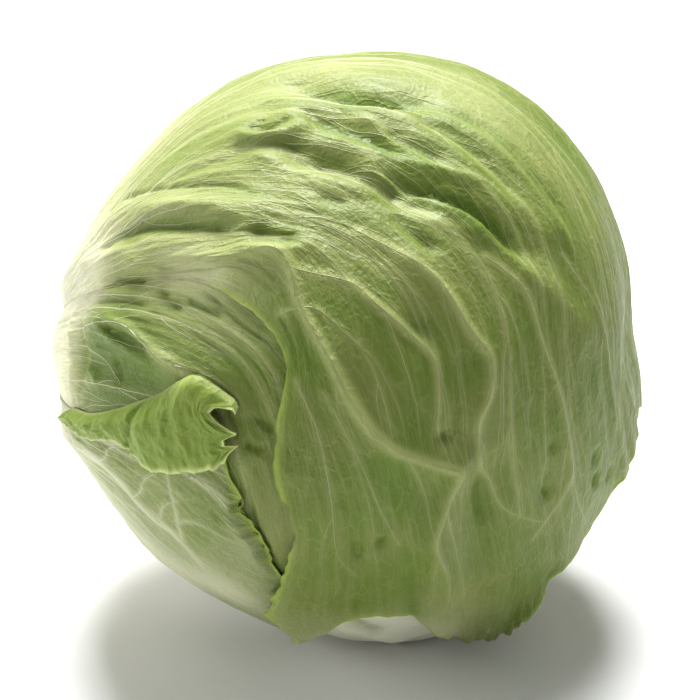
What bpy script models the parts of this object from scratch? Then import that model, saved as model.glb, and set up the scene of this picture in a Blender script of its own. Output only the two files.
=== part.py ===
"""Iceberg lettuce head lying on its side, at its real size, with its cut stem to the left.

A dense heart is wrapped in seven leaves that all start round the cut stem. Places on the head are
given on a front map: degrees right and up from the point that faces the front, which looks a little
upwards. A leaf is a closed shell spread between its guide veins. The leaves lie in layers over one
body radius, so each follows the ones beneath it and none touches the next.
"""

import math

import bpy
import numpy as np

# Driving dimensions, in metres and degrees
HEAD_RADIUS = 0.0792
CENTRE_HEIGHT = 0.0800
FRONT_TILT = 22
STEM_PLACE = (-115, 3)
STEM_RADIUS = 0.0130
STEM_REACH = (0.0660, 0.0825)
LEAF_THICKNESS = 0.0010
LEAF_PITCH = 0.0020
LEAF_START = 11.5
COVER_FALL = 0.022
HEART_DEPTH = 0.0040
WAVE_COUNT = 7
WAVE_START = 0.75
RIB_HEIGHT = 0.0018
RIB_WIDTH = 0.0080
RIB_SHARE = 0.45
CRINKLE_HEIGHT = 0.0018
CRINKLE_COUNT = 4
TOOTH_DEPTH = 0.5
SEED = 5

MM = 0.001
FRONT = np.array([0, -math.cos(math.radians(FRONT_TILT)), math.sin(math.radians(FRONT_TILT))])
RIGHT = np.array([1.0, 0, 0])
UP = np.cross(RIGHT, FRONT) * -1.0

# Broad swells of the body: place on the front map, width in degrees, height in mm
BODY_SWELLS = [
    ((50, 75), 36, 3.6),
    ((72, -54), 30, 6.5),
    ((-75, 60), 34, 1.5),
    ((-62, -66), 34, -2.0),
    ((18, -92), 20, 4.0),
    (STEM_PLACE, 17, -4.5),
]

# Furrows (below zero) and ridges (above zero): height in mm, half-width in mm, places they follow
FOLDS = [
    (-2.6, 6, [(-12, 65), (-4, 61), (4, 57), (15, 55)]),
    (-3.2, 6, [(-9, 39), (-2, 37), (5, 33), (13, 30)]),
    (-2.2, 7, [(12, 30), (19, 28), (26, 25), (34, 19)]),
    (1.8, 6, [(5, 36), (17, 30), (30, 20), (41, 12), (51, 4)]),
    (-1.6, 6, [(-3, 49), (6, 43), (12, 38)]),
    (1.5, 6, [(7, 49), (20, 43), (30, 32), (42, 25)]),
    (1.6, 6, [(-23, 48), (-19, 44), (-14, 45), (-12, 49)]),
    (-2.2, 6, [(-61, 26), (-50, 28), (-40, 26), (-24, 22)]),
    (1.8, 6, [(-53, 33), (-42, 35), (-30, 33), (-19, 30)]),
    (1.6, 6, [(-61, 19), (-40, 20), (-24, 17), (-12, 17)]),
    (1.8, 6, [(-12, 17), (-8, 7), (-3, -2), (1, -10), (8, -18), (21, -23)]),
    (1.8, 6, [(21, -23), (20, -27), (18, -33), (17, -38), (20, -46), (22, -56)]),
    (-2.0, 6, [(30, -26), (28, -36), (29, -46)]),
    (1.5, 6, [(13, 15), (18, 10), (25, 1), (27, -3), (25, -12)]),
    (2.0, 7, [(-55, 6), (-48, 6), (-38, 1), (-29, -6)]),
    (-1.8, 7, [(-60, -3), (-50, -4), (-40, -7)]),
]


def unit(vectors):
    return vectors / np.linalg.norm(vectors, axis=-1, keepdims=True)


def spot(place):
    """Unit direction of a place (right, up) on the front map."""
    turn = math.hypot(*place)
    side = (RIGHT * place[0] + UP * place[1]) / max(turn, 1e-9)
    return FRONT * math.cos(math.radians(turn)) + side * math.sin(math.radians(turn))


STEM = spot(STEM_PLACE)
STEM_TOP = unit(np.array([0, 0, 1.0]) - STEM * STEM[2])
STEM_FRONT = np.cross(STEM_TOP, STEM)


def spline(points, along):
    """Smooth curve through points, read at the given positions counted in points."""
    before = 2 * points[:1] - points[1:2]
    after = 2 * points[-1:] - points[-2:-1]
    ring = np.concatenate([before, points, after])
    first = np.clip(np.floor(along).astype(int), 0, len(points) - 2)
    f = (along - first).reshape((-1,) + (1,) * (points.ndim - 1))
    a, b, c, d = (ring[first + k] for k in range(4))
    linear = (c - a) * f
    square = (2 * a - 5 * b + 4 * c - d) * f**2
    cube = (3 * b - a - 3 * c + d) * f**3
    return 0.5 * (2 * b + linear + square + cube)


def drawn_vein(places):
    """Guide vein from the stem through places on the front map."""
    points = np.array([spot(place) for place in places])
    first = unit(points[0] - STEM * (points[0] @ STEM))
    start = STEM * math.cos(math.radians(LEAF_START)) + first * math.sin(math.radians(LEAF_START))
    return np.concatenate([start[None], points])


def plain_vein(heading, length, bend, count=6):
    """Guide vein that leaves the stem at a heading (0 over the top, 90 to the front) and bends."""
    turns = np.linspace(LEAF_START, length, count)
    headings = np.radians(heading + bend * (turns - LEAF_START) / 100)
    side = np.outer(np.cos(headings), STEM_TOP) + np.outer(np.sin(headings), STEM_FRONT)
    turns = np.radians(turns)[:, None]
    return STEM * np.cos(turns) + side * np.sin(turns)


def fan(headings, lengths, bend):
    """Guide veins spread evenly between two headings, with their lengths in degrees."""
    spread = np.linspace(headings[0], headings[1], len(lengths))
    return [plain_vein(heading, length, bend) for heading, length in zip(spread, lengths)]


def evened(vein, count=160):
    """The vein's points at even steps along it."""
    dense = unit(spline(vein, np.linspace(0, len(vein) - 1, count)))
    steps = np.linalg.norm(np.diff(dense, axis=0), axis=1)
    walked = np.concatenate([[0], np.cumsum(steps)])
    even = np.linspace(0, walked[-1], count)
    return unit(np.stack([np.interp(even, walked, dense[:, k]) for k in range(3)], axis=1))


class Leaf:
    """One leaf: its guide veins, its mesh, the waves of its margin in mm, and where it stands off.

    Its thick rib runs along one of its guide veins. A lift is a height and a half-width in mm, and
    the place where the leaf stands off the head by that much.
    """

    def __init__(self, name, veins, mesh, wave, colour, rib_place=2, lifts=()):
        self.name = name
        self.veins = [evened(vein) for vein in veins]
        self.rib_vein = self.veins[rib_place]
        self.lifts = lifts
        self.mesh = mesh
        self.wave = wave * MM
        self.colour = colour
        self.draw = np.random.default_rng(SEED + sum(map(ord, name)))
        self.middle = unit(self.grid(20, 20).mean(axis=(0, 1)))
        self.flat_edge = self.flatten(self.outline())

    def grid(self, rows, columns):
        """Directions of the leaf's points, rows along the veins and columns across them."""
        along = np.linspace(0, len(self.veins[0]) - 1, rows)
        guides = np.stack([spline(vein, along) for vein in self.veins])
        across = np.linspace(0, len(self.veins) - 1, columns)
        return unit(spline(guides, across).transpose(1, 0, 2))

    def outline(self):
        """Directions round the leaf's edge."""
        grid = self.grid(30, 30)
        return np.concatenate([grid[:-1, 0], grid[-1, :-1], grid[:0:-1, -1], grid[0, :0:-1]])

    def flatten(self, directions):
        """Distances in metres, right and up from the leaf's middle, laid out flat."""
        across = unit(np.cross(self.middle, STEM))
        other = np.cross(self.middle, across)
        x, y, depth = directions @ across, directions @ other, directions @ self.middle
        reach = np.maximum(np.hypot(x, y), 1e-9)
        turn = np.arctan2(reach, depth) * HEAD_RADIUS
        return np.stack([x / reach * turn, y / reach * turn], axis=-1)

    def rib(self, directions):
        """Height of the thick rib that runs from the stem up the leaf, in metres."""
        line = self.rib_vein[: int(len(self.rib_vein) * RIB_SHARE) : 3]
        nearness = np.tensordot(directions, line, axes=(-1, 1))
        distance = HEAD_RADIUS**2 * 2 * (1 - nearness.max(axis=-1))
        fade = 1 - nearness.argmax(axis=-1) / len(line)
        return RIB_HEIGHT * np.exp(-distance / RIB_WIDTH**2) * fade * (2 - fade)

    def lifted(self, directions):
        """Height by which the leaf stands off the head near the places of its lifts, in metres."""
        height = np.zeros(directions.shape[:-1])
        for rise, width, place in self.lifts:
            distance = 2 * (1 - directions @ spot(place)) * (HEAD_RADIUS / (width * MM)) ** 2
            height += rise * MM * np.exp(-distance)
        return height

    def cover(self, directions):
        """1 on the leaf, falling smoothly to 0 a little way outside it."""
        points = self.flatten(directions.reshape(-1, 3))
        start, end = self.flat_edge, np.roll(self.flat_edge, -1, axis=0)
        run = end - start
        offset = points[:, None] - start
        along = (offset * run).sum(-1) / np.maximum((run * run).sum(-1), 1e-12)
        gap = offset - run * np.clip(along, 0, 1)[..., None]
        distance = np.sqrt((gap * gap).sum(-1)).min(axis=1)
        crossing = (points[:, None, 1] < start[:, 1]) != (points[:, None, 1] < end[:, 1])
        rise = np.where(np.abs(run[:, 1]) < 1e-12, 1e-12, run[:, 1])
        hit = start[:, 0] + (points[:, None, 1] - start[:, 1]) * run[:, 0] / rise
        inside = (crossing & (points[:, None, 0] < hit)).sum(axis=1) % 2 == 1
        near = np.clip(1 - distance / COVER_FALL, 0, 1)
        near = near * near * (3 - 2 * near)
        return np.where(inside, 1.0, near).reshape(directions.shape[:-1])


# The leaves in their layers, the innermost first
LEAVES = [
    Leaf(
        "back_leaf",
        fan((-165, -40), (150, 155, 142, 120), 12),
        mesh=(16, 24),
        wave=2.0,
        colour="inner_green",
        lifts=[(5.0, 9, (92, -31))],
    ),
    Leaf(
        "low_leaf",
        fan((-178, -118), (112, 144, 122), -8),
        mesh=(16, 16),
        wave=2.0,
        colour="inner_green",
    ),
    Leaf(
        "right_leaf",
        fan((-95, -18), (146, 166, 172, 166), 14),
        mesh=(18, 18),
        wave=1.5,
        colour="inner_green",
    ),
    Leaf(
        "underside_leaf",
        fan((75, 205), (98, 116, 128, 134, 118), 0),
        mesh=(18, 22),
        wave=1.0,
        colour="pale_green",
    ),
    Leaf(
        "front_leaf",
        [
            drawn_vein([(-92, -18), (-72, -21), (-50, -20), (-37, -23), (-30, -33), (-26, -45), (-24, -55)]),
            drawn_vein([(-85, 2), (-60, 4), (-38, 0), (-23, -8), (-18, -25), (-17, -42), (-16, -58)]),
            drawn_vein([(-80, 10), (-52, 12), (-30, 8), (-14, -3), (-8, -22), (-6, -42), (-5, -61)]),
            drawn_vein([(-75, 18), (-45, 22), (-20, 18), (0, 3), (8, -20), (10, -42), (8, -62)]),
        ],
        mesh=(22, 16),
        wave=0.6,
        colour="leaf_green",
        rib_place=1,
    ),
    Leaf(
        "side_leaf",
        [
            drawn_vein([(-105, -40), (-88, -62), (-66, -78), (-44, -88), (-22, -92)]),
            drawn_vein([(-96, -27), (-78, -37), (-60, -49), (-42, -60), (-27, -67), (-14, -73)]),
            drawn_vein([(-90, -18), (-75, -22), (-60, -27), (-50, -33), (-44, -39), (-33, -48), (-20, -57)]),
            drawn_vein([(-88, -14), (-68, -19), (-50, -22), (-38, -28), (-29, -36), (-23, -44)]),
            drawn_vein([(-87, -11), (-68, -16), (-50, -16), (-38, -17), (-31, -21), (-25, -29)]),
            drawn_vein([(-86, -9), (-68, -12), (-50, -11), (-40, -8), (-32, -5), (-24, -10)]),
        ],
        mesh=(18, 22),
        wave=0.0,
        colour="leaf_green",
        rib_place=2,
        lifts=[(1.5, 8, (-24, -34))],
    ),
    Leaf(
        "cap_leaf",
        [
            drawn_vein([(-64, 12), (-30, 13), (-12, 0), (-13, -18), (-11, -36), (-12, -74)]),
            drawn_vein([(-67, 14), (-31, 18), (-11, 17), (0, -6), (9, -31), (13, -68)]),
            drawn_vein([(-68, 20), (-35, 35), (-4, 30), (20, 9), (26, -23), (38, -84)]),
            drawn_vein([(-66, 27), (-36, 56), (3, 57), (38, 33), (50, -12), (62, -70)]),
            drawn_vein([(-72, 50), (-40, 82), (20, 95), (66, 62), (82, 0), (87, -34)]),
            drawn_vein([(-95, 75), (-60, 120), (30, 135), (108, 80), (116, 14), (104, -14)]),
        ],
        mesh=(27, 37),
        wave=1.6,
        colour="leaf_green",
        rib_place=1,
        lifts=[(2.5, 10, (-12, -28)), (4.5, 13, (46, -78)), (3.0, 12, (72, -58)), (1.0, 12, (-10, -74))],
    ),
]

# The side leaf's upper margin folds outwards and hangs down: its fold line and its free edge
CURL_FOLD = [(-73, -15), (-62, -15), (-50, -13), (-41, -10), (-35, -7), (-29, -5), (-22, -10)]
CURL_EDGE = [(-73, -19), (-62, -21), (-50, -20), (-42, -24), (-34, -25), (-27, -26), (-21, -19)]
CURL_RISE = [-0.4, 2.6, 4.2, 4.0, 3.0, 2.2]

COLOURS = {
    "heart_green": (0.55, 0.62, 0.32),
    "inner_green": (0.28, 0.38, 0.12),
    "pale_green": (0.42, 0.46, 0.22),
    "leaf_green": (0.16, 0.24, 0.06),
    "stem_white": (0.66, 0.62, 0.48),
}


def fold_height(directions):
    """Height of the furrows and ridges, in metres."""
    flat = directions.reshape(-1, 3)
    height = np.zeros(len(flat))
    for rise, width, places in FOLDS:
        line = evened(np.array([spot(place) for place in places]), 24)
        distance = (1 - flat @ line.T).min(axis=1)
        spread = 2 * distance * (HEAD_RADIUS / (width * MM)) ** 2
        height += rise * MM * np.exp(-spread)
    return height.reshape(directions.shape[:-1])


def body_radius(directions):
    """Radius of the head below its outer leaves."""
    radius = HEAD_RADIUS + fold_height(directions)
    for place, width, height in BODY_SWELLS:
        turn = np.arccos(np.clip(directions @ spot(place), -1, 1))
        radius = radius + height * MM * np.exp(-((turn / math.radians(width)) ** 2))
    return radius


def floored(directions, radius, clearance):
    """Radius cut back where it would reach below the surface that the head lies on."""
    down = np.maximum(-directions[..., 2], 1e-3)
    return np.minimum(radius, (CENTRE_HEIGHT - clearance) / down)


def layer_radius(directions, layer):
    """Outer radius of the leaf at a layer of the stack, and the depth of the leaves over it."""
    stack = np.zeros(directions.shape[:-1])
    over = np.zeros(directions.shape[:-1])
    for index, leaf in enumerate(LEAVES):
        if index < layer:
            stack += (LEAF_PITCH + leaf.rib(directions)) * leaf.cover(directions)
        if index == layer:
            stack += leaf.rib(directions)
        if index > layer:
            over += LEAF_PITCH * leaf.cover(directions)
    return body_radius(directions) + stack, over


def margin_lift(leaf, directions):
    """Waves that lift the leaf's margin, and crinkles along its veins away from the front."""
    rows, columns = directions.shape[:2]
    along = np.linspace(0, 1, rows)[:, None]
    across = np.linspace(0, 1, columns)[None, :]
    ripple = 0.5 + 0.5 * np.sin(2 * math.pi * WAVE_COUNT * across + 1.3)
    waves = leaf.wave * ripple * np.clip((along - WAVE_START) / (1 - WAVE_START), 0, 1) ** 2
    swing = CRINKLE_COUNT * across + 0.5 * np.sin(2 * math.pi * along)
    crinkle = 0.5 + 0.5 * np.sin(2 * math.pi * swing)
    behind = np.clip(0.2 - directions @ FRONT, 0, 0.5) / 0.5
    return waves + CRINKLE_HEIGHT * crinkle * behind * np.clip((along - 0.2) / 0.4, 0, 1)


def ragged(leaf, grid):
    """The grid with its margin cut into teeth, by pulling edge points inwards."""
    rows, columns = grid.shape[:2]
    cut = grid.copy()
    for column in range(columns):
        pull = TOOTH_DEPTH * (column % 2) * leaf.draw.random()
        cut[-1, column] += (grid[-2, column] - grid[-1, column]) * pull
    for row in range(rows // 2, rows - 1):
        for edge, inner in ((0, 1), (-1, -2)):
            pull = TOOTH_DEPTH * (row % 2) * leaf.draw.random()
            cut[row, edge] += (grid[row, inner] - grid[row, edge]) * pull
    return unit(cut)


def stand(directions, radius):
    """Points at a radius from the head's centre, which stands above the surface."""
    return directions * radius[..., None] + np.array([0, 0, CENTRE_HEIGHT])


def shell_faces(rows, columns):
    """Triangles of a closed two-faced sheet: outer face, inner face and rim."""
    size = rows * columns
    faces = []
    for row in range(rows - 1):
        for column in range(columns - 1):
            a = row * columns + column
            b, c, d = a + 1, a + columns + 1, a + columns
            faces += [(a, b, c), (a, c, d)]
            faces += [(a + size, c + size, b + size), (a + size, d + size, c + size)]
    rim = [row * columns for row in range(rows)]
    rim += [(rows - 1) * columns + column for column in range(1, columns)]
    rim += [row * columns + columns - 1 for row in range(rows - 2, -1, -1)]
    rim += list(range(columns - 2, 0, -1))
    for a, b in zip(rim, rim[1:] + rim[:1]):
        faces += [(a, b, b + size), (a, b + size, a + size)]
    return faces


def signed_volume(points, faces):
    corners = points[np.array(faces)]
    return np.einsum("ij,ij->i", corners[:, 0], np.cross(corners[:, 1], corners[:, 2])).sum()


def add_solid(name, points, faces, colour):
    """A smooth-shaded object in its own material, with its faces pointing out."""
    if signed_volume(points, faces) < 0:
        faces = [face[::-1] for face in faces]
    mesh = bpy.data.meshes.new(name)
    mesh.from_pydata(points.tolist(), [], faces)
    mesh.shade_smooth()
    mesh.materials.append(finish(name, colour))
    solid = bpy.data.objects.new(name, mesh)
    bpy.context.scene.collection.objects.link(solid)
    return solid


def finish(name, colour):
    material = bpy.data.materials.new(name + "_finish")
    material.use_nodes = True
    shader = material.node_tree.nodes["Principled BSDF"]
    shader.inputs["Base Color"].default_value = (*COLOURS[colour], 1)
    shader.inputs["Roughness"].default_value = 0.45
    shader.inputs["Metallic"].default_value = 0.0
    return material


def leaf_faces_at(layer, directions, lift):
    """Outer and inner face points of a leaf, clear of the surface and of its neighbours."""
    outer, over = layer_radius(directions, layer)
    lift = lift + LEAVES[layer].lifted(directions)
    outer = outer + lift * np.clip(1 - over / LEAF_PITCH, 0, 1)
    top = floored(directions, outer, over)
    bottom = floored(directions, outer - LEAF_THICKNESS, over + LEAF_THICKNESS)
    return top, bottom


def build_leaf(layer):
    leaf = LEAVES[layer]
    directions = ragged(leaf, leaf.grid(*leaf.mesh))
    lift = margin_lift(leaf, directions)
    top, bottom = leaf_faces_at(layer, directions, lift)
    points = np.concatenate([stand(directions, r).reshape(-1, 3) for r in (top, bottom)])
    return add_solid(leaf.name, points, shell_faces(*leaf.mesh), leaf.colour)


def build_curl(layer, columns=16):
    """The folded tip of the side leaf, joined to its margin."""
    fold = evened(np.array([spot(place) for place in CURL_FOLD]), columns)
    edge = evened(np.array([spot(place) for place in CURL_EDGE]), columns)
    rows = len(CURL_RISE)
    reach = np.linspace(0, 1, rows)[:, None, None]
    directions = unit(fold[None] * (1 - reach) + edge[None] * reach)
    base, _ = layer_radius(directions, layer)
    swell = np.sin(np.linspace(0.04, 0.8, columns) * math.pi)
    rise = np.array(CURL_RISE)[:, None] * MM * np.where(np.arange(rows)[:, None] == 0, 1, swell)
    outer = base + rise
    points = np.concatenate([stand(directions, r).reshape(-1, 3) for r in (outer, outer - LEAF_THICKNESS)])
    return add_solid("side_leaf_curl", points, shell_faces(rows, columns), "leaf_green")


def join(body, extra):
    """Boolean union of a second solid into a body."""
    union = body.modifiers.new("join", "BOOLEAN")
    union.operation = "UNION"
    union.object = extra
    view = bpy.context.evaluated_depsgraph_get()
    joined = bpy.data.meshes.new_from_object(body.evaluated_get(view))
    body.modifiers.clear()
    body.data = joined
    bpy.data.objects.remove(extra, do_unlink=True)


def build_heart(rings=17, columns=28):
    """The dense heart, meshed round the stem's axis and dented where the stem starts."""
    turns = np.radians(np.linspace(0, 180, rings + 1))
    spins = np.linspace(0, 2 * math.pi, columns, endpoint=False)
    side = np.outer(np.cos(spins), STEM_TOP) + np.outer(np.sin(spins), STEM_FRONT)
    ring = turns[1:-1, None, None]
    directions = STEM * np.cos(ring) + side[None] * np.sin(ring)
    directions = np.concatenate([STEM[None], directions.reshape(-1, 3), -STEM[None]])
    turn = np.degrees(np.arccos(np.clip(directions @ STEM, -1, 1)))
    dent = 10 * MM * np.exp(-((turn / 16) ** 2))
    radius = body_radius(directions) - LEAF_THICKNESS - HEART_DEPTH - dent
    over = sum(LEAF_PITCH * leaf.cover(directions) for leaf in LEAVES)
    radius = floored(directions, radius, over + LEAF_THICKNESS + MM)
    faces = []
    for column in range(columns):
        step = (column + 1) % columns
        faces.append((0, 1 + column, 1 + step))
        for row in range(rings - 2):
            a = 1 + row * columns
            b = a + columns
            faces += [(a + column, b + column, b + step), (a + column, b + step, a + step)]
        last = 1 + (rings - 2) * columns
        faces.append((last + column, len(directions) - 1, last + step))
    return add_solid("heart", stand(directions, radius), faces, "heart_green")


def build_stem(columns=28):
    """The cut stem: a short round butt with a slightly domed cut face."""
    low, high = STEM_REACH
    profile = [(0, low), (0.86, low), (1, low + MM), (1, high - 1.5 * MM), (0.9, high), (0, high + 0.6 * MM)]
    spins = np.linspace(0, 2 * math.pi, columns, endpoint=False)
    side = np.outer(np.cos(spins), STEM_TOP) + np.outer(np.sin(spins), STEM_FRONT)
    points = [STEM * low]
    for share, height in profile[1:-1]:
        points += list(STEM * height + side * share * STEM_RADIUS)
    points.append(STEM * profile[-1][1])
    rings = len(profile) - 2
    faces = []
    for column in range(columns):
        step = (column + 1) % columns
        faces.append((0, 1 + step, 1 + column))
        for row in range(rings - 1):
            a = 1 + row * columns
            b = a + columns
            faces += [(a + column, a + step, b + step), (a + column, b + step, b + column)]
        last = 1 + (rings - 1) * columns
        faces.append((last + column, last + step, len(points) - 1))
    points = np.array(points) + np.array([0, 0, CENTRE_HEIGHT])
    return add_solid("cut_stem", points, faces, "stem_white")


def main():
    for old in list(bpy.data.objects):
        bpy.data.objects.remove(old, do_unlink=True)
    build_heart()
    build_stem()
    for layer, leaf in enumerate(LEAVES):
        solid = build_leaf(layer)
        if leaf.name == "side_leaf":
            join(solid, build_curl(layer))


main()
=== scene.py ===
# %% [markdown]
# # An iceberg lettuce head, lying on its side
#
# This lesson dresses a plain frame of a lettuce head. The frame holds nine closed solids: a dense heart,
# a cut stem and seven wrapper leaves, each in its true place. The stem and the leaves are replaced by
# finer pieces of the same form, with veins, blisters, creases and torn edges. The heart gets a finish.
#
# Lengths are in metres, Z is up, and the camera looks along +Y. The head's middle stands straight above
# the origin, and the cut stem points to the left.

# %% Load the frame
import math

import bpy
import numpy as np
from mathutils.kdtree import KDTree
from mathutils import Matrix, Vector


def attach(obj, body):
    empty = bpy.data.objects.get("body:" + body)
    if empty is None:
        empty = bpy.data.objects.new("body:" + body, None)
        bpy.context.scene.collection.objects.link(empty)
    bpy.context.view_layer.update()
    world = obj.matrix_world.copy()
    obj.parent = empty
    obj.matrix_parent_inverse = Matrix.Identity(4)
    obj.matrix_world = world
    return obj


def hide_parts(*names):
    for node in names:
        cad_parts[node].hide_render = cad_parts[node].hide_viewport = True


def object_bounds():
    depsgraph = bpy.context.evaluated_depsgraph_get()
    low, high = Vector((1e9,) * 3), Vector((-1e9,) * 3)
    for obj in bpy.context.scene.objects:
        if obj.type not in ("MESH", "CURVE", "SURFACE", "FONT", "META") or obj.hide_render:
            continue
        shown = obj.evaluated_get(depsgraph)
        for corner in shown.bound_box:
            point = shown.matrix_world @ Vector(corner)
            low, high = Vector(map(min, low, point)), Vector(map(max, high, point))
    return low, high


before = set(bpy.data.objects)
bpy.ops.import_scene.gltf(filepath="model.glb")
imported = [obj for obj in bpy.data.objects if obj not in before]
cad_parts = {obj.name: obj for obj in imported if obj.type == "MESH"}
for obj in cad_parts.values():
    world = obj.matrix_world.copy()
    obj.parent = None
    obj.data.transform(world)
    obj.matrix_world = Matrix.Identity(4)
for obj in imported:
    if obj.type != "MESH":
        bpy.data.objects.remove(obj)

cad_box = [list(corner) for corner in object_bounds()]
print("nodes in the frame:", sorted(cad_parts))

# %% [markdown]
# ## The camera
#
# A photograph of a head this size is usually taken from well back with a long lens, so that the near
# leaves don't bulge. The camera looks 22 degrees down. The lens follows from the distance and from how
# many pixels of the picture one metre takes up at the head's middle.

# %% Camera
MM = 0.001
HEAD_MIDDLE = np.array([0, 0, 0.0800])
CAMERA_TILT = math.radians(22)
CAMERA_DISTANCE = 0.75
SENSOR_WIDTH = 36
PICTURE_SIDE = 700
PIXELS_PER_METRE = 3520
HEAD_MIDDLE_PIXEL = 347.5
FRONT = np.array([0, -math.cos(CAMERA_TILT), math.sin(CAMERA_TILT)])


def put_in_scene(name, data, place=(0, 0, 0), turn=(0, 0, 0)):
    """A new object in the scene."""
    made = bpy.data.objects.new(name, data)
    made.location = place
    made.rotation_euler = turn
    bpy.context.scene.collection.objects.link(made)
    return made


lens = bpy.data.cameras.new("studio_camera")
lens.sensor_width = SENSOR_WIDTH
lens.lens = SENSOR_WIDTH * PIXELS_PER_METRE * CAMERA_DISTANCE / PICTURE_SIDE
lens.shift_x = (PICTURE_SIDE / 2 - HEAD_MIDDLE_PIXEL) / PICTURE_SIDE
lens.shift_y = -lens.shift_x
eye = HEAD_MIDDLE + CAMERA_DISTANCE * FRONT
bpy.context.scene.camera = put_in_scene("studio_camera", lens, eye, (math.pi / 2 - CAMERA_TILT, 0, 0))
print("lens", round(lens.lens, 1), "mm")

# %% [markdown]
# ## Floor and light
#
# Leaves look waxy and soft under one broad lamp above and a little behind them, with the pale floor and
# a bright room filling the shade. A weak lamp from the left keeps that side bright, so the right side
# falls into shade. The Standard view shows colours as they are set, and keeps the pale floor pale.

# %% Floor, lamps and room
# Each lamp: power in watts, side in metres, and place
LAMPS = {
    "top_lamp": (39.0, 0.60, (-0.02, 0.38, 1.20)),
    "left_fill": (8.0, 0.90, (-1.3, -0.1, 0.45)),
}
ROOM_LIGHT = 0.34
FLOOR_CORNERS = [(-6, -6, 0), (6, -6, 0), (6, 6, 0), (-6, 6, 0)]
FLOOR_GREY = (0.82, 0.82, 0.82, 1)

for name, (power, side, place) in LAMPS.items():
    lamp = bpy.data.lights.new(name, "AREA")
    lamp.energy = power
    lamp.size = side
    x, y, z = HEAD_MIDDLE - place
    put_in_scene(name, lamp, place, (math.atan2(math.hypot(x, y), -z), 0, math.atan2(-x, y)))

paint = bpy.data.materials.new("floor_paint")
paint.use_nodes = True
paint.node_tree.nodes["Principled BSDF"].inputs["Base Color"].default_value = FLOOR_GREY
paint.node_tree.nodes["Principled BSDF"].inputs["Roughness"].default_value = 0.9
floor_mesh = bpy.data.meshes.new("studio_floor")
floor_mesh.from_pydata(FLOOR_CORNERS, [], [(0, 1, 2, 3)])
floor_mesh.materials.append(paint)
floor = put_in_scene("studio_floor", floor_mesh)

room = bpy.data.worlds.new("studio_room")
room.use_nodes = True
room.node_tree.nodes["Background"].inputs["Color"].default_value = (1, 1, 1, 1)
room.node_tree.nodes["Background"].inputs["Strength"].default_value = ROOM_LIGHT
bpy.context.scene.world = room
bpy.context.scene.view_settings.view_transform = "Standard"
print("lamps", list(LAMPS))

# %% [markdown]
# ## A map of the head
#
# Every crease and leaf edge needs a place. A place is given as two angles, degrees right and degrees up
# from the point of the head that faces the camera, as on a globe that is turned to the reader. One
# function turns such a place into a direction from the head's middle. Long lists of places are written
# as plain tables, and another function reads them.

# %% Places and directions
HEAD_RADIUS = 0.0792
RIGHT = np.array([1.0, 0, 0])
UP = np.cross(FRONT, RIGHT)


def unit(vectors):
    return vectors / np.linalg.norm(vectors, axis=-1, keepdims=True)


def spot(place):
    """Unit direction of a place (right, up) on the front map."""
    turn = math.hypot(*place)
    side = (RIGHT * place[0] + UP * place[1]) / max(turn, 1e-9)
    return FRONT * math.cos(math.radians(turn)) + side * math.sin(math.radians(turn))


def rows_of(table, leading=0):
    """Rows of a table: some leading numbers each, then the directions of the places that follow them."""
    rows = []
    for row in table.strip().splitlines():
        if not row.startswith("#"):
            numbers = [float(word) for word in row.split()]
            places = zip(numbers[leading::2], numbers[leading + 1 :: 2])
            rows.append((*numbers[:leading], np.array([spot(place) for place in places])))
    return rows


def closeness(directions, place, width):
    """1 at a place, falling off round it with a half-width in mm."""
    return np.exp(-2 * (1 - directions @ spot(place)) * (HEAD_RADIUS / (width * MM)) ** 2)


def degrees_from(directions, aim):
    """Angles in degrees between directions and one direction."""
    return np.degrees(np.arccos(np.clip(directions @ aim, -1, 1)))


STEM = spot((-115, 3))
STEM_TOP = unit(np.array([0, 0, 1.0]) - STEM * STEM[2])
STEM_FRONT = np.cross(STEM_TOP, STEM)
print("stem points to", STEM.round(3))

# %% [markdown]
# ## Smooth curves and smooth grids
#
# Two helpers carry all of the shapes. The first draws a smooth curve through a few points. The second
# reads a value from a coarse grid at any place between its points, without steps, so that a slow sum
# can be worked out on few points and then used on many.


# %% Splines
def spline_weights(f):
    """Shares of the four points round a place between two of them (a Catmull-Rom spline)."""
    first = -0.5 * f + f**2 - 0.5 * f**3
    second = 1 - 2.5 * f**2 + 1.5 * f**3
    third = 0.5 * f + 2 * f**2 - 1.5 * f**3
    return first, second, third, 0.5 * (f**3 - f**2)


def with_ends(points):
    """The points with one more at each end, in line with the last two."""
    return np.concatenate([2 * points[:1] - points[1:2], points, 2 * points[-1:] - points[-2:-1]])


def spline(points, along):
    """Smooth curve through points, read at the given positions counted in points."""
    ring = with_ends(points)
    first = np.clip(np.floor(along).astype(int), 0, len(points) - 2)
    f = (along - first).reshape((-1,) + (1,) * (points.ndim - 1))
    return sum(w * ring[first + k] for k, w in enumerate(spline_weights(f)))


def sampled(grid, down, across):
    """Values of a grid at places between its rows (0 to 1 down) and its columns (0 to 1 across)."""
    padded = with_ends(with_ends(grid).swapaxes(0, 1)).swapaxes(0, 1)
    firsts, weights = [], []
    for share, count in ((down, grid.shape[0] - 1), (across, grid.shape[1] - 1)):
        first = np.clip(np.floor(share * count).astype(int), 0, count - 1)
        firsts.append(first)
        weights.append(spline_weights((share * count - first).reshape(down.shape + (1,) * (grid.ndim - 2))))
    total = 0
    for i, row_weight in enumerate(weights[0]):
        for j, column_weight in enumerate(weights[1]):
            total = total + row_weight * column_weight * padded[firsts[0] + i, firsts[1] + j]
    return total


def zigzag(knots, places):
    """Straight lines through evenly spaced knots, read at places from 0 to 1."""
    return np.interp(places * (len(knots) - 1), np.arange(len(knots)), knots)


def running(steps):
    """Distance walked before each step and after the last."""
    return np.concatenate([[0], np.cumsum(steps)])


def smooth_step(values):
    """0 below 0, 1 above 1, and a smooth rise between."""
    held = np.clip(values, 0, 1)
    return held * held * (3 - 2 * held)


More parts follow.
